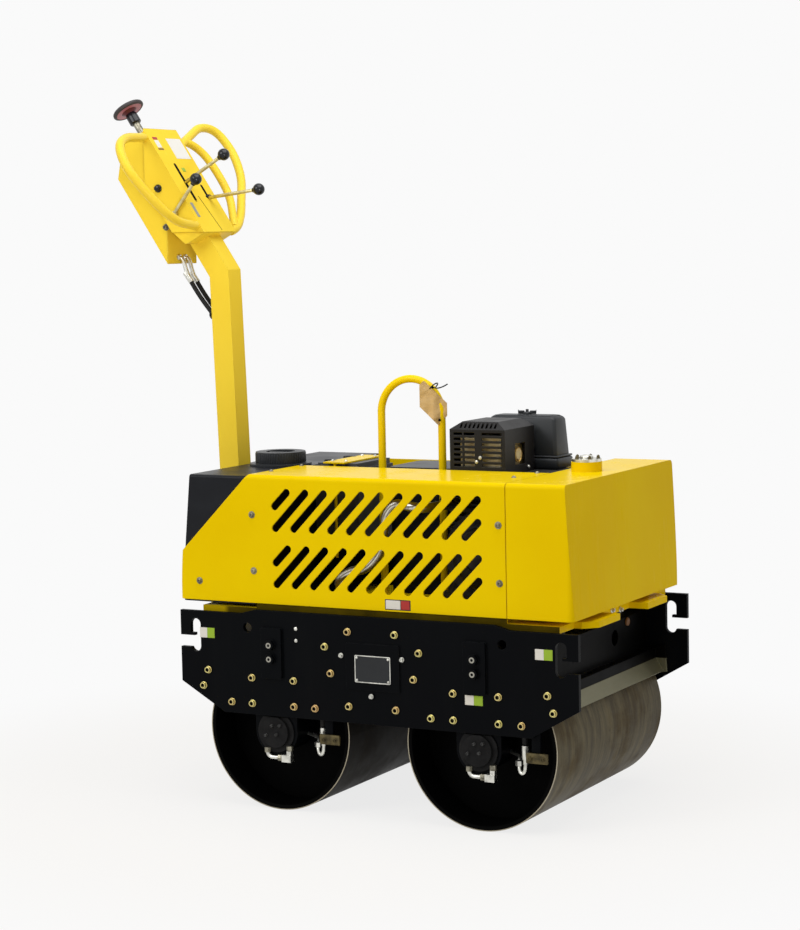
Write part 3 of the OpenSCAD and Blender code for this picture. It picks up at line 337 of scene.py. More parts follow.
def make_finishes():
    yellow = ((242, 211, 5), (237, 202, 3), (246, 226, 80), 0.17, (200, 176, 58), 0.08, 0.06)
    paint("yellow_paint", *yellow, level=0.012)
    pale = ((243, 214, 66), (238, 205, 58), (248, 230, 120), *yellow[3:])
    paint("head_paint", *pale, level=0.012)
    paint("loop_paint", *pale, level=0.1, chips=0.0)
    paint("tube_paint", (250, 219, 10), (246, 211, 8), *yellow[2:], level=0.1, chips=0.0)
    # The frame's yellow, with painted shade on its outer sides under the hood.
    paint("frame_paint", *yellow, level=0.012, painted_shade=frame_painted_shade)
    black = ((7, 9, 12), (5, 6, 9), (44, 46, 48), 0.34, (40, 40, 38), 0.08, 0.1)
    paint("black_paint", *black, level=0.04)
    paint("plate_paint", *black, level=0.04, bare=(pad_bolts, (160, 158, 148)))
    # Black paint whose lower lip is pale metal: wear and a painted reflection.
    paint("lip_paint", (5, 5, 5), (4, 4, 4), (40, 40, 40), 0.34, (34, 32, 28), 0.06, 0.1,
          level=0.02, bare=(lip_wear_and_reflection, (120, 118, 96)))
    paint("guard_paint", (26, 25, 26), (20, 19, 20), (92, 92, 92), 0.36, (60, 58, 55), 0.1, 0.12,
          level=0.2)
    bare_metal("yellow_zinc", (208, 200, 130), (200, 164, 116), 0.26, 6.0)
    bare_metal("olive_zinc", (92, 82, 52), (60, 53, 34), 0.4, 60.0, metal=0.7)
    bare_metal("dull_zinc", (150, 146, 130), (104, 100, 88), 0.34, 60.0)
    bare_metal("grey_steel", (70, 70, 70), (46, 46, 46), 0.4, 60.0, metal=0.6)
    bare_metal("bright_zinc", (222, 221, 212), (176, 175, 168), 0.24, 50.0)
    bare_metal("pale_zinc", (214, 205, 158), (184, 172, 124), 0.3, 60.0)
    bare_metal("brass", (206, 172, 98), (150, 120, 68), 0.3, 70.0)
    # Tan heat-coloured steel, lightened far beyond its own tone: painted light for the light that barely
    # reaches in behind the guard.
    bare_metal("exhaust_steel", (240, 226, 186), (206, 182, 132), 0.36, 34.0, metal=0.2)
    bare_metal("motor_casting", (22, 22, 23), (14, 14, 15), 0.5, 30.0, metal=0.0, level=0.12)
    bare_metal("engine_alloy", (70, 70, 70), (38, 38, 38), 0.42, 22.0, metal=0.6)
    moulded("black_plastic", (26, 29, 33), (50, 54, 58), 0.36, 620.0, level=0.3)
    moulded("tank_plastic", (20, 22, 27), (34, 37, 43), 0.34, 420.0, level=0.14)
    moulded("battery_case", (60, 62, 66), (84, 86, 90), 0.4, 420.0, level=0.3)
    moulded("rubber", (18, 18, 19), (52, 51, 49), 0.58, 500.0, level=0.2)
    # Near-black matte: painted shade in the head's slots and in the bolts' sockets; also the tag's eyelets.
    moulded("slot_black", (5, 5, 6), (14, 14, 14), 0.7, 300.0, level=0.05)
    moulded("ball_plastic", (6, 8, 14), (18, 22, 32), 0.16, 200.0, level=0.3, coat=0.12)
    moulded("red_plastic", (176, 112, 132), (156, 92, 112), 0.34, 260.0, level=0.3)
    moulded("rim_rubber", (52, 48, 50), (84, 80, 82), 0.5, 400.0, level=0.3)
    moulded("dark_red", (92, 30, 38), (70, 34, 38), 0.34, 260.0, level=0.3)
    moulded("label_white", (226, 226, 222), (206, 204, 196))
    moulded("label_grey", (150, 152, 150), (128, 130, 128))
    moulded("label_green", (150, 186, 42), (132, 160, 50))
    moulded("label_red", (176, 44, 40), (150, 60, 52))
    moulded("label_brown", (112, 76, 40), (92, 66, 40), 0.4, 260.0)
    moulded("tag_card", (212, 182, 132), (184, 148, 98), 0.7, 160.0, level=0.2)
    drum_finish("front_drum_steel", FRONT_AXLE, ((64, 58, 43), (102, 95, 73)), (72, 58, 41), 0.34)
    # The rear drum is the same steel as the front one, darker and less metallic: painted shade between the
    # drums.
    drum_finish("rear_drum_painted_shade_steel", REAR_AXLE, ((12, 11, 9), (28, 26, 21)), (30, 25, 18), 0.04)


NODE_FINISH = {
    "plate_paint": ["side_plate_right", "side_plate_left"],
    "lip_paint": ["front_crossmember", "rear_crossmember"],
    "black_paint": ["centre_beam", "carrier_front_right", "carrier_front_left", "carrier_rear_right",
                    "carrier_rear_left", "battery_tray"],
    "frame_paint": ["upper_frame"],
    "tube_paint": ["lifting_hoop"],
    "loop_paint": ["hand_loop_right", "hand_loop_left"],
    "yellow_paint": ["hood_panel_right", "hood_panel_left", "hydraulic_tank", "battery_strap",
                     "handle_bracket"],
    "head_paint": ["steering_column", "console_housing", "console_cover"],
    "motor_casting": ["drive_motor_front", "drive_motor_rear"],
    "bright_zinc": ["motor_pipes_front", "motor_pipes_rear", "filler_cap", "pivot_pin"],
    "rubber": ["rubber_buffers", "control_hoses"],
    "tank_plastic": ["water_tank", "fuel_tank"],
    "black_plastic": ["water_cap", "air_cleaner"],
    "battery_case": ["battery"],
    "engine_alloy": ["engine_block"],
    "guard_paint": ["muffler_guard"],
    "exhaust_steel": ["muffler"],
    "front_drum_steel": ["front_drum"],
    "rear_drum_painted_shade_steel": ["rear_drum"],
    "yellow_zinc": ["travel_lever", "vibration_lever", "throttle_lever"],
    "red_plastic": ["stop_button"],
}


def finish_nodes():
    for name, nodes in NODE_FINISH.items():
        for node in nodes:
            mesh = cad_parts[node].data
            mesh.materials.clear()
            mesh.materials.append(FINISHES[name])


# Modelling by hand

def fresh():
    bpy.ops.object.select_all(action="DESELECT")


def added(operator, **settings):
    fresh()
    operator(**settings)
    return bpy.context.object


def choose(piece):
    fresh()
    piece.select_set(True)
    bpy.context.view_layer.objects.active = piece


@contextmanager
def editing(piece):
    choose(piece)
    bpy.ops.object.mode_set(mode="EDIT")
    yield
    bpy.ops.object.mode_set(mode="OBJECT")


def select_whole():
    bpy.ops.mesh.select_all(action="SELECT")


def stretch(*factors):
    bpy.ops.transform.resize(value=factors)


def nudge(*way):
    """Moves what is selected, in millimetres."""
    bpy.ops.transform.translate(value=[w * MM for w in way])


def pick(piece, test):
    """Selects the faces whose middle and normal pass a test."""
    bpy.ops.mesh.select_mode(type="FACE")
    bpy.ops.mesh.select_all(action="DESELECT")
    mesh = bmesh.from_edit_mesh(piece.data)
    for face in mesh.faces:
        if test(face.calc_center_median(), face.normal):
            face.select_set(True)
    bmesh.update_edit_mesh(piece.data)


def raise_by(height):
    bpy.ops.mesh.extrude_region_move(TRANSFORM_OT_translate={"value": (0, 0, height)})


def turned(profile, sides=24):
    """A round piece about Z: circles of radius and height in millimetres, each extruded from the last."""
    radius, height = profile[0]
    piece = added(bpy.ops.mesh.primitive_circle_add, vertices=sides, radius=radius * MM, fill_type="NGON",
                  location=(0, 0, height * MM))
    with editing(piece):
        select_whole()
        for wide, high in profile[1:]:
            raise_by((high - height) * MM)
            stretch(wide / radius, wide / radius, 1)
            radius, height = wide, high
        select_whole()
        bpy.ops.mesh.normals_make_consistent(inside=False)
    bpy.ops.object.transform_apply(location=True, rotation=True, scale=True)
    return piece


def block(size, edge, segments=2):
    """A box on the floor plane with rounded edges, in millimetres."""
    piece = added(bpy.ops.mesh.primitive_cube_add, size=1)
    with editing(piece):
        select_whole()
        stretch(*(s * MM for s in size))
        nudge(0, 0, size[2] / 2)
        bpy.ops.mesh.bevel(offset=edge * MM, segments=segments, affect="EDGES")
    return piece


def joined(pieces):
    """The pieces as one."""
    fresh()
    for piece in pieces:
        piece.select_set(True)
    bpy.context.view_layer.objects.active = pieces[0]
    bpy.ops.object.join()
    return bpy.context.object


def moved(piece, place):
    """Moves and turns a piece's mesh, so that the piece itself stays at the origin."""
    piece.data.transform(place)
    return piece


def stamped(pattern, places):
    """One piece of many copies of a pattern, each with its own mesh."""
    copies = []
    for place in places:
        copy = pattern.copy()
        copy.data = pattern.data.copy()
        bpy.context.scene.collection.objects.link(copy)
        copies.append(moved(copy, place))
    return joined(copies)


def drop(*pieces):
    """Removes patterns that have been copied."""
    for piece in pieces:
        bpy.data.objects.remove(piece)


def dressed(piece, name, look, body="chassis", slot=None, angle=35):
    """Names a finished piece, gives it its look and lets it ride on a body."""
    piece.name = name
    piece.data.name = name
    piece.data.materials.clear()
    piece.data.materials.append(FINISHES[look])
    choose(piece)
    bpy.ops.object.shade_smooth_by_angle(angle=math.radians(angle))
    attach(piece, body)
    return piece


def on_handle(piece, name, look, **more):
    return dressed(piece, name, look, body="handle", **more)


def facing(place, axis=(0, 0, 1), spin=0.0):
    """Puts a piece modelled about Z at a place, with Z along an axis."""
    turn = Vector((0, 0, 1)).rotation_difference(Vector(axis)).to_matrix().to_4x4()
    return Matrix.Translation(place) @ turn @ Matrix.Rotation(spin, 4, "Z")


def hex_bolt(flats, height, washer):
    """A bolt head with a chamfered top on a washer."""
    corner = flats / math.sqrt(3)
    head = turned([(corner, 0), (corner, height * 0.8), (corner * 0.9, height), (corner * 0.58, height),
                   (corner * 0.5, height * 0.55)], 6)
    ring = turned([(washer, 0), (washer, 1.6), (washer * 0.93, 2.4), (corner * 0.7, 2.4)], 24)
    return joined([moved(head, shift(0, 0, 2.2)), ring])


def button_screw(radius, height):
    """A domed screw with a hexagon socket, on a thin washer."""
    dome = turned([(radius, 0), (radius, height * 0.35), (radius * 0.9, height * 0.75),
                   (radius * 0.66, height), (radius * 0.42, height)], 24)
    with editing(dome):
        pick(dome, lambda mid, normal: normal.z > 0.9 and mid.length < radius * MM * 2 and abs(mid.x) < 1e-6)
        raise_by(-height * 0.5 * MM)
    ring = turned([(radius * 1.45, 0), (radius * 1.45, 1.0), (radius * 1.38, 1.5), (radius * 0.8, 1.5)], 24)
    return joined([moved(dome, shift(0, 0, 1.3)), ring])


# Side plates

RIGHT, LEFT = -1, 1
SIDE_NAME = {RIGHT: "right", LEFT: "left"}
PLATE_Y = 351.0
PAD_LIFT = 4.0  # of the pad in the middle of the right plate
BOLT_PAIRS = [(66, 472.5), (132, 431.5), (116.5, 365.5), (66, 286), (476, 351), (491, 310)]
ZINC_BOLTS = ([(way * x, z) for x, z in BOLT_PAIRS for way in (-1, 1)]
              + [(axle + off, 339) for axle in (-285, 285) for off in (-61, 61)]
              + [(axle + off, 273.5) for axle in (-285, 285) for off in (-122, -61, 61, 122)])
GREY_NUTS = [(-85.5, 412.5), (85.5, 412.5), (0, 316)]
SMALL_RIVETS = [(-215, 471), (-215, 441)]


def on_wall(side, y, places, spin=0.0):
    """Spots on one side of the machine, each turned further than the last."""
    return [facing(at(x, side * y, z), (0, side, 0), spin * i) for i, (x, z) in enumerate(places)]


def make_plate_bolts():
    """Bolts with a deep socket in the head, a near-black disc in each socket as painted shade, nuts and
    rivets on both side plates.
    """
    zinc = turned([(9.6, 0), (9.6, 1.6), (9, 2.2), (7.9, 2.2), (7.9, 7.4), (7.3, 8.2), (5.1, 8.2),
                   (4.9, 4)], 24)
    # Painted shade: a near-black disc at the bottom of each bolt's socket.
    socket = turned([(4.9, 3), (4.9, 4.6), (4.4, 4.8)], 12)
    grey = hex_bolt(9, 5, 6.6)
    rivet = turned([(5, 0), (5, 1), (4, 2.4), (2.2, 3.2)], 16)
    for side, name in SIDE_NAME.items():
        spots = on_wall(side, PLATE_Y, ZINC_BOLTS, 0.7)
        dressed(stamped(zinc, spots), f"plate_bolts_{name}", "yellow_zinc")
        dressed(stamped(socket, spots), f"plate_bolt_socket_shade_{name}", "slot_black")
        lift = PAD_LIFT if side == RIGHT else 0
        nuts = [facing(at(x, side * (PLATE_Y + (lift if x == 0 else 0)), z), (0, side, 0), 0.5 * i)
                for i, (x, z) in enumerate(GREY_NUTS)]
        dressed(stamped(grey, nuts), f"plate_nuts_{name}", "bright_zinc")
        dots = on_wall(side, PLATE_Y, SMALL_RIVETS)
        dressed(stamped(rivet, dots), f"plate_rivets_{name}", "bright_zinc")
    drop(zinc, socket, grey, rivet)


# Blank plates and labels

def slab(width, height, thick, corner):
    """A thin plate in X and Y with rounded corners, from its middle, in millimetres."""
    piece = added(bpy.ops.mesh.primitive_plane_add, size=1)
    with editing(piece):
        select_whole()
        stretch(width * MM, height * MM, 1)
        bpy.ops.mesh.bevel(offset=corner * MM, segments=4, affect="VERTICES")
        select_whole()
        raise_by(thick * MM)
        select_whole()
        bpy.ops.mesh.normals_make_consistent(inside=False)
    return piece


def on_side(x, y, z):
    """Puts a plate modelled in X and Y flat on the right side, its X forward."""
    return Matrix.Translation(at(x, y, z)) @ Matrix.Rotation(math.pi / 2, 4, "X")


def make_name_plate():
    """A blank plate: a dark field in a riveted rim."""
    rim = slab(100, 68, 1.4, 3)
    with editing(rim):
        pick(rim, lambda mid, normal: normal.z > 0.9)
        bpy.ops.mesh.inset(thickness=2.2 * MM)
        raise_by(-0.9 * MM)
    spot = on_side(5, -PLATE_Y - PAD_LIFT, 383)
    rivet = turned([(3.4, 0), (3.4, 0.6), (2.6, 1.8), (1.2, 2.3)], 16)
    corners = [shift(x, y, 1.2) for x in (-44, 44) for y in (-28, 28)]
    rivets = stamped(rivet, corners)
    field = slab(95.4, 63.4, 0.3, 2)
    dressed(moved(joined([rim, rivets]), spot), "name_plate_frame", "bright_zinc")
    dressed(moved(field, spot @ shift(0, 0, 0.5)), "name_plate_field", "black_plastic")
    drop(rivet)


SIDE_LABELS = [(-477, 446, 44, 26), (467.5, 449, 46, 26), (280, 326, 48, 24)]


def make_labels():
    """Blank two-coloured labels on the right side plate and under the hood's slots."""
    halves = {"white": [], "green": []}
    for x, z, width, height in SIDE_LABELS:
        for colour, way in (("white", -1), ("green", 1)):
            half = slab(width / 2, height, 0.4, 0.8)
            halves[colour].append(moved(half, on_side(x + way * width / 4, -PLATE_Y, z)))
    for colour, plates in halves.items():
        dressed(joined(plates), f"side_labels_{colour}", f"label_{colour}")
    hood = [("frame", 71, 26, 0.3, 68, "black_plastic"), ("white", 41, 22, 0.5, 55, "label_white"),
            ("red", 24, 22, 0.5, 89, "label_red")]
    for name, width, height, thick, x, look in hood:
        dressed(moved(slab(width, height, thick, 1), on_side(x, -HOOD_Y, 544)), f"hood_label_{name}", look)


# Hood

HOOD_Y = 335.0
HOOD_TOP = 852.0
HOOD_SCREWS = [(-345, 751), (345, 751), (-343, 609), (346, 611), (-506, 576)]
FLANGE_SCREWS = [(326, -206), (335, -92), (-340, -94.6), (-340, -245)]


def make_hood_screws():
    screw = button_screw(6.2, 4.6)
    for side, name in SIDE_NAME.items():
        spots = on_wall(side, HOOD_Y, HOOD_SCREWS, 0.4)
        dressed(stamped(screw, spots), f"hood_screws_{name}", "dull_zinc")
    small = button_screw(4.4, 3.4)
    spots = [facing(at(x, y, HOOD_TOP)) for x, y in FLANGE_SCREWS]
    dressed(stamped(small, spots), "flange_screws", "dull_zinc")
    drop(screw, small)


def make_filler():
    """Bolts around the filler neck, and the breather on its cap."""
    bolt = hex_bolt(7, 5, 5)
    stud = turned([(2.2, 0), (2.2, 8), (1.6, 9)], 12)
    pair = joined([bolt, stud])
    low, high, centre = box_of("filler_cap")
    ring = [Vector((centre.x + 29 * MM * math.cos(a), centre.y + 29 * MM * math.sin(a), low.z + 7 * MM))
            for a in [math.tau * (i + 0.3) / 5 for i in range(5)]]
    dressed(stamped(pair, [facing(p) for p in ring]), "filler_bolts", "olive_zinc")
    knob = turned([(17, 0), (17, 2), (15, 4.5), (9, 6), (8.6, 5)], 32)
    dressed(moved(knob, Matrix.Translation((centre.x, centre.y, high.z))), "filler_breather", "bright_zinc")
    drop(pair)


CAP_RADIUS = 65.2
CAP_RIBS = 60


def make_water_cap():
    """Fine grip ribs around the cap, and a bar across its recess."""
    low, high, centre = box_of("water_cap")
    rib = block((3, 4, 26), 1.0)
    foot = Matrix.Translation((centre.x, centre.y, low.z + 7 * MM))
    spots = [foot @ Matrix.Rotation(math.tau * i / CAP_RIBS, 4, "Z") @ shift(CAP_RADIUS, 0, 0)
             for i in range(CAP_RIBS)]
    ribs = stamped(rib, spots)
    bar = moved(block((72, 13, 11), 3), Matrix.Translation((centre.x, centre.y, high.z - 13 * MM)))
    dressed(joined([ribs, bar]), "water_cap_grip", "black_plastic")
    drop(rib)


# Power unit

def make_air_cleaner():
    """Domed cover on a stepped base, with a wing nut on its stud."""
    low, high, centre = box_of("air_cleaner")
    size = high - low
    base = block((size.x / MM, size.y / MM, 30), 8, 3)
    crown = size.z / MM - 12
    tall = crown - 29
    dome = added(bpy.ops.mesh.primitive_cube_add, size=1)
    with editing(dome):
        select_whole()
        stretch(size.x - 14 * MM, size.y - 14 * MM, (tall - 4) * MM)
        nudge(0, 0, (tall - 4) / 2 + 29)
        pick(dome, lambda mid, normal: normal.z > 0.9)
        stretch(0.93, 0.82, 1)
        bpy.ops.mesh.inset(thickness=16 * MM)
        nudge(0, 0, 4)
        select_whole()
        bpy.ops.mesh.bevel(offset=9 * MM, segments=4, affect="EDGES")
    ridge = moved(block((size.x / MM - 5, size.y / MM - 5, 5), 2), shift(0, 0, 30))
    cover = joined([dome, base, ridge])
    place = Matrix.Translation((centre.x, centre.y, low.z))
    dressed(moved(cover, place), "air_cleaner_cover", "black_plastic", angle=50)
    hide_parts("air_cleaner")
    hub = turned([(10, -6), (10, 3), (7, 6), (4, 7), (4, 12), (3, 13)], 20)
    wing = block((18, 5, 9), 2)
    with editing(wing):
        pick(wing, lambda mid, normal: normal.x > 0.9)
        nudge(0, 0, 3)
    wings = stamped(wing, [Matrix.Rotation(turn, 4, "Z") @ shift(16, 0, 0.5)
                           for turn in (0.12, 0.12 + math.pi)])
    drop(wing)
    dressed(moved(joined([hub, wings]), place @ shift(0, 0, crown)), "cleaner_wing_nut", "black_plastic")


def make_muffler_trim():
    """Screws of the guard, and the outlet with its shield behind the guard's window."""
    low, high, centre = box_of("muffler_guard")
    screw = button_screw(3.2, 2.6)
    spots = [facing(at(170, low.y / MM, 884.5), (0, -1, 0)), facing(at(160, low.y / MM, 874), (0, -1, 0)),
             facing(Vector((high.x, centre.y + 50 * MM, low.z + 12 * MM)), (1, 0, 0)),
             facing(Vector((centre.x - 40 * MM, high.y, low.z + 14 * MM)), (0, 1, 0)),
             facing(Vector((low.x, centre.y, low.z + 14 * MM)), (-1, 0, 0))]
    dressed(stamped(screw, spots), "guard_screws", "bright_zinc")
    drop(screw)
    pipe = turned([(13, 0), (13, 14), (19, 20), (20, 24), (17, 24), (10.5, 12), (10, 2)], 32)
    mouth = Vector((high.x - 28 * MM, centre.y + 2 * MM, low.z + 46 * MM))
    dressed(moved(pipe, facing(mouth, (1, 0, 0))), "exhaust_outlet", "brass")
    shield = slab(56, 50, 1.5, 12)
    # The shield shares the muffler's lightened steel: painted light.
    dressed(moved(shield, facing(mouth + Vector((2 * MM, 1 * MM, 0)), (1, 0, 0))), "exhaust_shield",
            "exhaust_steel")


def piped(points, radius, name):
    """A round pipe along points, as a curve with closed ends."""
    line = bpy.data.curves.new(name, "CURVE")
    line.dimensions = "3D"
    line.bevel_depth = radius * MM
    line.bevel_resolution = 5
    line.use_fill_caps = True
    run = line.splines.new("NURBS")
    run.points.add(len(points) - 1)
    for knot, place in zip(run.points, points):
        knot.co = (*place, 1)
    run.use_endpoint_u = True
    run.order_u = 3
    run.resolution_u = 8
    return placed(name, line)


def meshed(piece):
    """A pipe's curve made a mesh."""
    choose(piece)
    bpy.ops.object.convert(target="MESH")
    return bpy.context.object


def declare_hose(path):
    """The length of a hose along the points of its path, summed and not kept."""
    length = sum((b - a).length for a, b in zip(path, path[1:]))


OIL_PIPE = [(130, -120, 775), (130, -230, 778), (118, -293, 778), (80, -296, 784), (45, -296, 790),
            (20, -296, 765), (12, -296, 720), (0, -296, 662), (-40, -296, 622), (-90, -296, 614),
            (-128, -290, 590), (-132, -250, 548), (-132, -240, 512)]
BREATHER_BEND = 85.0
STARTER_PLACE = (200, -130, 637)
FUEL_CAP_PLACE = (12, 170)


def make_engine_dress():
    """A starter cover, pipes and a filler cap that show behind the hood's slots and from above."""
    cover = turned([(79, -2), (79, 6), (70, 26), (58, 34), (30, 38), (28, 34)], 40)
    dressed(moved(cover, facing(at(*STARTER_PLACE), (0, -1, 0))), "starter_cover", "engine_alloy")
    pipe = meshed(piped([at(*spot) for spot in OIL_PIPE], 12, "oil_pipe"))
    dressed(pipe, "oil_pipe", "bright_zinc", angle=60)
    turn = [math.pi * i / 24 for i in range(25)]
    bend = [(195 - BREATHER_BEND * math.cos(a), -140 - BREATHER_BEND * math.sin(a), 775 + 15 * math.cos(a))
            for a in turn]
    path = [at(*spot) for spot in [(110, -120, 790), *bend, (280, -120, 760)]]
    hose = dressed(meshed(piped(path, 10, "breather_hose")), "breather_hose", "rubber", angle=60)
    declare_hose(path)
    top = box_of("fuel_tank")[1].z
    cap = turned([(34, 0), (34, 4), (30, 6), (30, 20), (27, 24), (14, 25), (13, 22)], 28)
    spot = at(*FUEL_CAP_PLACE, 0)
    dressed(moved(cap, Matrix.Translation((spot.x, spot.y, top))), "fuel_cap", "black_plastic")


def make_battery_dress():
    """Low terminals under rubber boots, and the screws that hold the strap."""
    _, high, centre = box_of("battery")
    boot = joined([turned([(13, 0), (13, 3), (11, 5), (5, 5.6)], 24),
                   moved(block((20, 11, 4), 1.5), shift(16, 0, 0))])
    spots = [Matrix.Translation((centre.x - 47 * MM, centre.y + y * MM, high.z)) for y in (-50, 50)]
    dressed(stamped(boot, spots), "battery_boots", "rubber")
    drop(boot)
    top = box_of("battery_strap")[1].z
    screw = button_screw(3.6, 2.8)
    spots = [facing(Vector((centre.x + x * MM, centre.y + y * MM, top)))
             for x, y in ((-20, -78), (20, -78), (-20, 78), (20, 78))]
    dressed(stamped(screw, spots), "strap_screws", "bright_zinc")
    drop(screw)


# Drum drives: both ends of each hose, and the bent pipe from it to the motor, counted from the axle

HOSE_TOP, HOSE_FOOT = (123, -320, 120), (124, -317, 20)
HOSE_PIPE = [(124, -317, -28), (124, -317, -44), (118, -317, -54), (110, -316, -52), (105, -314, -40),
             (103, -306, -24), (96, -290, -14)]
MOTOR_BOLTS = [(-6, 17), (17, 19), (7, -5), (-24, -8)]


def make_drive(axle, name, forward, bolt, nut):
    """Bolts and nuts of one drum's motor, and its hose, set forward, with pipe, strap and clamp."""
    def near(x, y, z):
        return Vector((axle.x + x * MM, y * MM, axle.z + z * MM))

    def by_hose(x, y, z):
        return near(x + forward, y, z)
    spots = [facing(near(x, -PLATE_Y, z), (0, -1, 0), 0.3 * x) for x, z in MOTOR_BOLTS]
    dressed(stamped(bolt, spots), f"motor_bolts_{name}", "grey_steel")
    ends = [facing(near(-24, -345, -40), (0, 0, -1)), facing(near(8, -345, -64), (1, 0, 0)),
            facing(near(42, -346.5, -45))]
    dressed(stamped(nut, ends), f"pipe_nuts_{name}", "dull_zinc")
    shares = [i / 15 for i in range(16)]
    (x0, y0, z0), (x1, y1, z1) = HOSE_TOP, HOSE_FOOT
    path = [by_hose(x0 + (x1 - x0) * t ** 2, y0 + (y1 - y0) * t, z0 + (z1 - z0) * t) for t in shares]
    hose = dressed(meshed(piped(path, 8, "drive_hose")), f"drive_hose_{name}", "rubber", angle=60)
    ferrule = moved(turned([(9.5, 0), (9.5, 30), (8, 33), (6, 36), (6, 46)], 20),
                    facing(by_hose(124, -317, 16), (0, 0, -1)))
    hook = meshed(piped([by_hose(*spot) for spot in HOSE_PIPE] + [near(40, -270, -10)], 5, "drive_pipe"))
    collar = moved(turned([(9, 0), (9, 12), (7.6, 13)], 6), facing(by_hose(104, -311, -36)))
    pipe = dressed(joined([ferrule, hook, collar]), f"drive_pipe_{name}", "bright_zinc", angle=40)
    declare_hose(path)
    strap = moved(block((24, 12, 92), 3), Matrix.Translation(near(152, -333, -18)))
    dressed(strap, f"hose_strap_{name}", "black_paint")
    foot = moved(block((58, 8, 26), 3), Matrix.Translation(near(156, -340.5, -21)))
    screw = hex_bolt(8, 4, 6)
    pair = stamped(screw, [facing(near(156 + x, -344.2, -8), (0, -1, 0)) for x in (-16, 16)])
    drop(screw)
    dressed(joined([foot, pair]), f"hose_clamp_{name}", "olive_zinc")


def make_drive_fittings():
    """The same fittings at both drums."""
    bolt = hex_bolt(7, 4, 4.4)
    nut = turned([(8.6, 0), (8.6, 11), (7.4, 12.5), (5.8, 12.5)], 6)
    make_drive(FRONT_AXLE, "front", -10, bolt, nut)
    make_drive(REAR_AXLE, "rear", 0, bolt, nut)
    drop(bolt, nut)


# Handle

HEAD_TILT = math.radians(33.6)
HEAD = Matrix.Translation(at(-630.5, 0, 1461.6)) @ Matrix.Rotation(-HEAD_TILT, 4, "Y")
COVER_HALF = 78.5


def head(out, y, up):
    """A place on the control head: out of its panel, to the left, and up along it, in millimetres."""
    return HEAD @ Vector((out * MM, y * MM, up * MM))


def ball(radius):
    """A ball knob with a flat collar under it."""
    profile = [(radius * 0.42, -1.12 * radius), (radius * 0.45, -0.92 * radius)]
    turn = [math.pi * (0.17 + 0.05 * i) for i in range(17)]
    profile += [(radius * math.sin(a), -radius * math.cos(a)) for a in turn]
    return turned([(max(r, 0.5), z) for r, z in profile], 32)


LEVERS = {"travel_lever": ((0.6, -28, 159), (141, -28, 150)),
          "vibration_lever": ((2.5, 40, 109.3), (143, 40, 38)),
          "throttle_lever": ((-45, -86.5, 90), (63, -86.5, 125))}


def make_levers():
    """Plated rods with ball knobs in place of the three plain levers."""
    knob = ball(16)
    rods, spots = [], []
    for foot, tip in LEVERS.values():
        foot, tip = head(*foot), head(*tip)
        way = (tip - foot).normalized()
        length = (tip - foot).length / MM
        rod = turned([(4.6, 0), (5, 1), (5, length * 0.5), (4.6, length - 20), (4.6, length - 12)], 20)
        rods.append(moved(rod, facing(foot, way)))
        spots.append(facing(tip, way))
    hub = turned([(7.5, 0), (7.5, 9), (6.5, 11), (4, 11.6)], 28)
    rods.append(moved(hub, facing(head(-45, -COVER_HALF, 90), (0, -1, 0))))
    bars = on_handle(joined(rods), "lever_rods", "pale_zinc")
    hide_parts(*LEVERS)
    on_handle(stamped(knob, spots), "lever_balls", "ball_plastic", angle=60)
    grommet = turned([(15.5, 0), (15.5, 1.6), (13, 2.6), (6, 2.8)], 32)
    with editing(grommet):
        select_whole()
        stretch(0.42, 1, 1)
    out = HEAD.to_3x3() @ Vector((1, 0, 0))
    on_handle(moved(grommet, facing(head(0, 46, 114), out)), "lever_grommet", "rubber", angle=50)
    drop(knob)


STOP_FOOT = (-53, 0, 328)


def make_stop_button():
    """A mushroom stop button: plated shaft, dark hub, red disc with a thick dark rim."""
    axis = HEAD.to_3x3() @ Vector((0, 0, 1))
    spot = facing(head(*STOP_FOOT), axis)
    shaft = turned([(10.5, 0), (10.5, 8), (9.4, 10), (9.4, 66)], 24)
    collar = turned([(15, 0), (15, 5), (13.5, 7), (9, 7)], 6)
    on_handle(moved(joined([shaft, collar]), spot), "stop_shaft", "dull_zinc")
    hub = turned([(14, 62), (16, 64.5), (16, 88), (14.5, 93), (12, 94)], 28)
    on_handle(moved(hub, spot), "stop_hub", "ball_plastic")
    cone = turned([(13, 92), (15, 95), (22, 101), (24, 102.4)], 32)
    on_handle(moved(cone, spot), "stop_cone", "dark_red", angle=50)
    disc = turned([(15, 101.2), (36, 101.2), (39, 101.8), (41.5, 104), (42, 107), (41, 110), (38, 111.8),
                   (30, 112.4), (12, 112.4)], 48)
    on_handle(moved(disc, spot), "stop_disc", "red_plastic", angle=50)
    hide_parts("stop_button")
    rim = turned([(36, 106), (37.5, 101.0), (41.5, 101.4), (44, 103.4), (44.7, 106.6), (43.8, 110),
                  (41.5, 112), (37, 112.8), (36.5, 112.2)], 48)
    on_handle(moved(rim, spot), "stop_rim", "rim_rubber", angle=50)


# Name, width, height, and where it lies: to the left and up
PANEL_LABELS = [
    ("panel_label", 68, 66, 34, 270, "label_white"), ("panel_label_small", 20, 24, -50, 284, "label_white"),
    ("panel_label_red", 22, 8, -50, 302, "label_red"), ("panel_label_brown", 26, 5, -50, 267, "label_brown"),
    ("panel_strip", 12, 46, -59, 71, "label_grey"), ("panel_label_green", 14, 12, 0, 201, "label_green"),
]


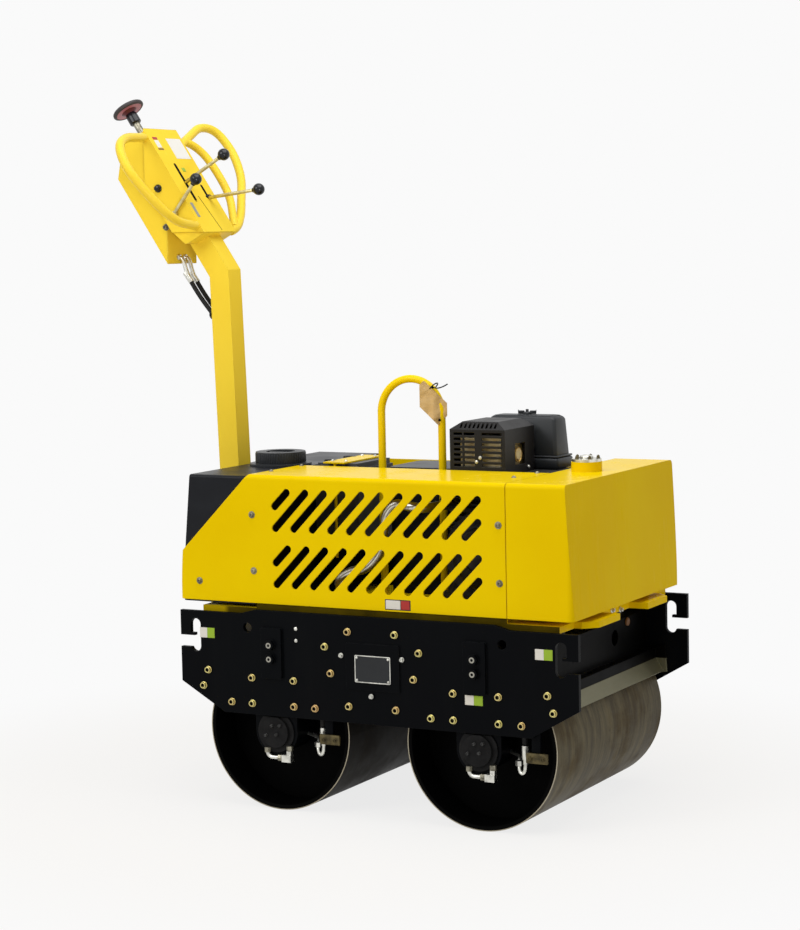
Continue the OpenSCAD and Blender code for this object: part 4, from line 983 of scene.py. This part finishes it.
def make_panel_dress():
    """Blank labels, near-black sheets as painted shade in the slots, and a side button on the control head.
    """
    face = HEAD @ Matrix.Rotation(math.pi / 2, 4, "Z") @ Matrix.Rotation(math.pi / 2, 4, "X")

    def on_panel(y, up):
        return face @ shift(y, up, 0)
    for name, width, height, y, up, look in PANEL_LABELS:
        on_handle(moved(slab(width, height, 0.5, 1.5), on_panel(y, up)), name, look)
    # Painted shade: thin near-black sheets where the slots open into the head.
    slots = [moved(slab(11, 120, 0.3, 4), on_panel(-28, 161)), moved(slab(10, 46, 0.3, 4), on_panel(40, 130)),
             moved(slab(2, 112, 0.3, 0.8), on_panel(4, 61) @ Matrix.Rotation(0.17, 4, "Z"))]
    on_handle(joined(slots), "slot_painted_shade", "slot_black")
    button = turned([(10.8, 0), (10.8, 3), (9.6, 4.5), (8.6, 4.5), (8.2, 8), (7, 10.4), (4, 11.4)], 32)
    spot = facing(head(-52.5, -COVER_HALF, 176), (0, -1, 0))
    on_handle(moved(button, spot), "side_button", "ball_plastic")


CLOSING_PLATE_PLACE = (-757, 0, 1427)
FLOOR_PLACE = (-681, 0, 1431.5)


def make_head_floor():
    """A plate that closes the tray under the cover, the cover's sloped floor, and the bolts of the tray."""
    closing = moved(slab(137, 96, 3, 2), facing(at(*CLOSING_PLATE_PLACE), (1, 0, 0), math.pi / 2))
    on_handle(closing, "head_closing_plate", "head_paint")
    wedge = block((99, 152, 30), 1)
    with editing(wedge):
        pick(wedge, lambda mid, normal: mid.z < 4 * MM)
        stretch(0.1, 1, 1)
        nudge(-9, 0, 0)
    on_handle(moved(wedge, Matrix.Translation(at(*FLOOR_PLACE))), "cover_floor", "head_paint")
    bolt = hex_bolt(12, 6, 9)
    spots = [facing(head(-97, s * 68.5, 82), (0, s, 0)) for s in (-1, 1)]
    on_handle(stamped(bolt, spots), "housing_bolts", "dull_zinc")
    drop(bolt)


# How far left each hose is, and places along it: forward and up
HOSE_SIDES = {"right": -20, "left": 8}
ELBOW_BEND = [(-757, 1396), (-744, 1395), (-736, 1384), (-729, 1360)]
HOSE_START, HOSE_END = (-721, 1340), (-645, 1240)


def make_hoses():
    """Two hoses from elbows under the control head into grommets in the back of the column."""
    nut = turned([(8, 0), (8, 9), (7, 10), (5, 10)], 6)
    fittings, grommets = [], []
    for name, y in HOSE_SIDES.items():
        start, end = (at(x, y, z) for x, z in (HOSE_START, HOSE_END))
        way = (end - start).normalized()
        elbow = meshed(piped([at(x, y, z) for x, z in ELBOW_BEND] + [start], 6, "elbow"))
        fittings += [elbow, stamped(nut, [facing(at(-756, y, 1396), (1, 0, 0))]),
                     moved(turned([(7.9, 0), (7.9, 30), (7.3, 32)], 20), facing(start - way * 18 * MM, way))]
        across = Vector((-way.z, 0, way.x)) * 3 * MM
        path = [start + (end - start) * (i / 15) - across * math.sin(math.pi * i / 15) for i in range(16)]
        hose = piped(path, 6.2, f"control_hose_{name}")
        hose.data.splines[0].order_u = 4
        hose.data.materials.append(FINISHES["rubber"])
        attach(hose, "handle")
        declare_hose(path)
        if name == "right":
            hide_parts("control_hoses")
        ring = turned([(13, 0), (13, 4), (11, 6), (7.2, 6)], 24)
        grommets.append(moved(ring, facing(at(-647, y, 1243), (-1, 0, 0))))
    on_handle(joined(fittings), "hose_fittings", "bright_zinc", angle=45)
    on_handle(joined(grommets), "hose_grommets", "rubber", angle=45)
    drop(nut)


# Tag on the lifting hoop

TAG_OUTLINE = [(-32.7, 57), (-5, 63.4), (11.5, 47.7), (22.5, 31.2), (26.2, 16.5), (32.7, -27.5),
               (29.9, -61.6), (-19.7, -63.4), (-30.8, -5.5)]
TAG_PLACE = (12.3, -22.8, 1007.3)
TAG_EYELETS = [(-0.5, 48.5), (15.2, -34.9)]


def make_tag():
    """A card tag, cut to its outline, curled and creased, tied around the hoop."""
    card = added(bpy.ops.mesh.primitive_grid_add, x_subdivisions=20, y_subdivisions=36, size=1)
    with editing(card):
        select_whole()
        stretch(70 * MM, 130 * MM, 1)
        for (x0, y0), (x1, y1) in zip(TAG_OUTLINE, TAG_OUTLINE[1:] + TAG_OUTLINE[:1]):
            select_whole()
            bpy.ops.mesh.bisect(plane_co=(x0 * MM, y0 * MM, 0), plane_no=(y0 - y1, x1 - x0, 0),
                                clear_outer=True)
        for test, lift in ((lambda mid, normal: mid.x < -18 * MM, -9),
                           (lambda mid, normal: mid.x > 20 * MM, -7),
                           (lambda mid, normal: mid.y < -50 * MM, 6)):
            pick(card, test)
            bpy.ops.transform.translate(value=(0, 0, lift * MM), use_proportional_edit=True,
                                        proportional_edit_falloff="SMOOTH", proportional_size=26 * MM)
    creases = bpy.data.textures.new("tag_creases", "CLOUDS")
    creases.noise_scale = 0.022
    bent = card.modifiers.new("creases", "DISPLACE")
    bent.texture = creases
    bent.strength = 7 * MM
    bent.direction = "Z"
    shell = card.modifiers.new("thick", "SOLIDIFY")
    shell.thickness = 1.2 * MM
    choose(card)
    for step in ("creases", "thick"):
        bpy.ops.object.modifier_apply(modifier=step)
    spot = (Matrix.Translation(at(*TAG_PLACE)) @ Matrix.Rotation(CAMERA_YAW, 4, "Z")
            @ Matrix.Rotation(math.pi / 2, 4, "X"))
    dressed(moved(card, spot), "hoop_tag", "tag_card", angle=60)
    eyelet = turned([(3.2, -5), (3.2, 5), (2.4, 5.6)], 16)
    eyelets = stamped(eyelet, [spot @ shift(x, y, 0) for x, y in TAG_EYELETS])
    drop(eyelet)
    dressed(eyelets, "tag_eyelets", "slot_black", slot="black_plastic")
    loop = [at(6 + 9.2 * math.sin(a), -7 - 15 * math.cos(a), 1057 + 9.2 * math.sin(a))
            for a in [math.tau * i / 12 for i in range(12)]]
    tie = meshed(piped(loop + [loop[0], at(27.4, -14, 1051.6), at(43.3, -1.4, 1063.8)], 1.7, "tag_tie"))
    dressed(tie, "tag_tie", "black_plastic", angle=60)


# Fasteners of the frame

BUFFER_RADIUS = 35.0


def make_buffer_plates():
    """Steel plates above and below each rubber buffer."""
    low, high, _ = box_of("rubber_buffers")
    plate = turned([(38, 0), (38, 4), (36.5, 5), (20, 5)], 40)
    spots = []
    for x in (low.x + BUFFER_RADIUS * MM, high.x - BUFFER_RADIUS * MM):
        for y in (low.y + BUFFER_RADIUS * MM, high.y - BUFFER_RADIUS * MM):
            spots.append(Matrix.Translation((x, y, low.z)))
            spots.append(Matrix.Translation((x, y, high.z)) @ Matrix.Rotation(math.pi, 4, "X"))
    dressed(stamped(plate, spots), "buffer_plates", "bright_zinc")
    drop(plate)


FRONT_BOLTS = [(-20.9, 509), (30.3, 503)]
PLUG_PLACE = (443, 207, 442)


def make_frame_bolts():
    """Bolts that show between the frame's front tabs, and a plug in the crossmember behind them."""
    bolt = hex_bolt(9, 6, 7)
    spots = [facing(at(500, y, z), (1, 0, 0)) for y, z in FRONT_BOLTS]
    dressed(stamped(bolt, spots), "frame_bolts", "bright_zinc")
    drop(bolt)
    plug = turned([(11, -2), (11, 3), (9, 5), (4, 5.6)], 24)
    dressed(moved(plug, facing(at(*PLUG_PLACE), (1, 0, 0))), "frame_plug", "label_brown")


# Lights and floor

def make_lamp(name, kind, place, target, power):
    light = bpy.data.lights.new(name, kind)
    light.energy = power
    lamp = placed(name, light)
    lamp.location = place
    lamp.rotation_euler = (Vector(target) - Vector(place)).to_track_quat("-Z", "Y").to_euler()
    return light


WHITE = (250, 250, 250)
WARM = (255, 244, 228)
AMBIENT = 0.37


def seen_directly(shade):
    """1 for rays that show a background: from the camera, in a mirror or through glass."""
    path = [shade.node("ShaderNodeLightPath", out=name)
            for name in ("Is Camera Ray", "Is Glossy Ray", "Is Transmission Ray")]
    return path[0].maths("ADD", path[0] + path[1], path[2], clamp=True)


def make_world():
    """A dim warm sky that shows as white."""
    world = bpy.data.worlds.new("studio")
    world.use_nodes = True
    bpy.context.scene.world = world
    tree = world.node_tree
    sky = tree.nodes["Background"]
    shown = seen_directly(Shade(tree, sky.outputs[0]))
    tree.links.new(shown.mix(WARM, WHITE).socket, sky.inputs["Color"])
    tree.links.new((AMBIENT + (1 - AMBIENT) * shown).socket, sky.inputs["Strength"])


def make_floor():
    """A matt floor that shows almost as white and takes a soft shadow."""
    floor = added(bpy.ops.mesh.primitive_plane_add, size=60, location=(0, 0, 0))
    floor.name = "floor"
    made = bpy.data.materials.new("pale_floor")
    made.use_nodes = True
    tree = made.node_tree
    tree.nodes.remove(tree.nodes["Principled BSDF"])
    place = Shade(tree, tree.nodes.new("ShaderNodeTexCoord").outputs["Object"])
    reach = place.vector("LENGTH", out="Value")
    matt = place.node("ShaderNodeBsdfDiffuse", None, {"Color": (0.93, 0.89, 0.82, 1)})
    white = place.node("ShaderNodeEmission", None, {"Color": srgb(*WHITE), "Strength": 1.0})
    fade = (0.84 + 0.16 * reach.step(0.8, 1.8)) * seen_directly(place)
    mixed = place.node("ShaderNodeMixShader", None, {0: fade, 1: matt, 2: white})
    tree.links.new(mixed.socket, tree.nodes["Material Output"].inputs["Surface"])
    floor.data.materials.append(made)


# Name, place, target, size and power of the wide lamps
WIDE_LAMPS = [("key_lamp", (-2.6, -5.6, 4.4), (0, 0, 0.7), 3.5, 170),
              ("top_lamp", (0.6, -0.4, 3.5), (0.1, 0, 0.6), 2.4, 58)]


def make_light():
    """Two wide lamps, and a soft spot from low in front that is kept to the control head."""
    for name, place, target, size, power in WIDE_LAMPS:
        light = make_lamp(name, "AREA", place, target, power)
        light.shape = "SQUARE"
        light.size = size
    spot = make_lamp("head_lamp", "SPOT", (1.7, -2.2, 0.95), at(-735, -20, 1510), 170)
    spot.spot_size = math.radians(17)
    spot.spot_blend = 1.0
    spot.shadow_soft_size = 0.4
    bpy.context.scene.view_settings.view_transform = "Standard"


make_camera()
make_finishes()
finish_nodes()
make_plate_bolts()
make_name_plate()
make_labels()
make_hood_screws()
make_filler()
make_water_cap()
make_air_cleaner()
make_muffler_trim()
make_engine_dress()
make_battery_dress()
make_drive_fittings()
make_levers()
make_stop_button()
make_panel_dress()
make_head_floor()
make_hoses()
make_tag()
make_buffer_plates()
make_frame_bolts()
make_world()
make_floor()
make_light()
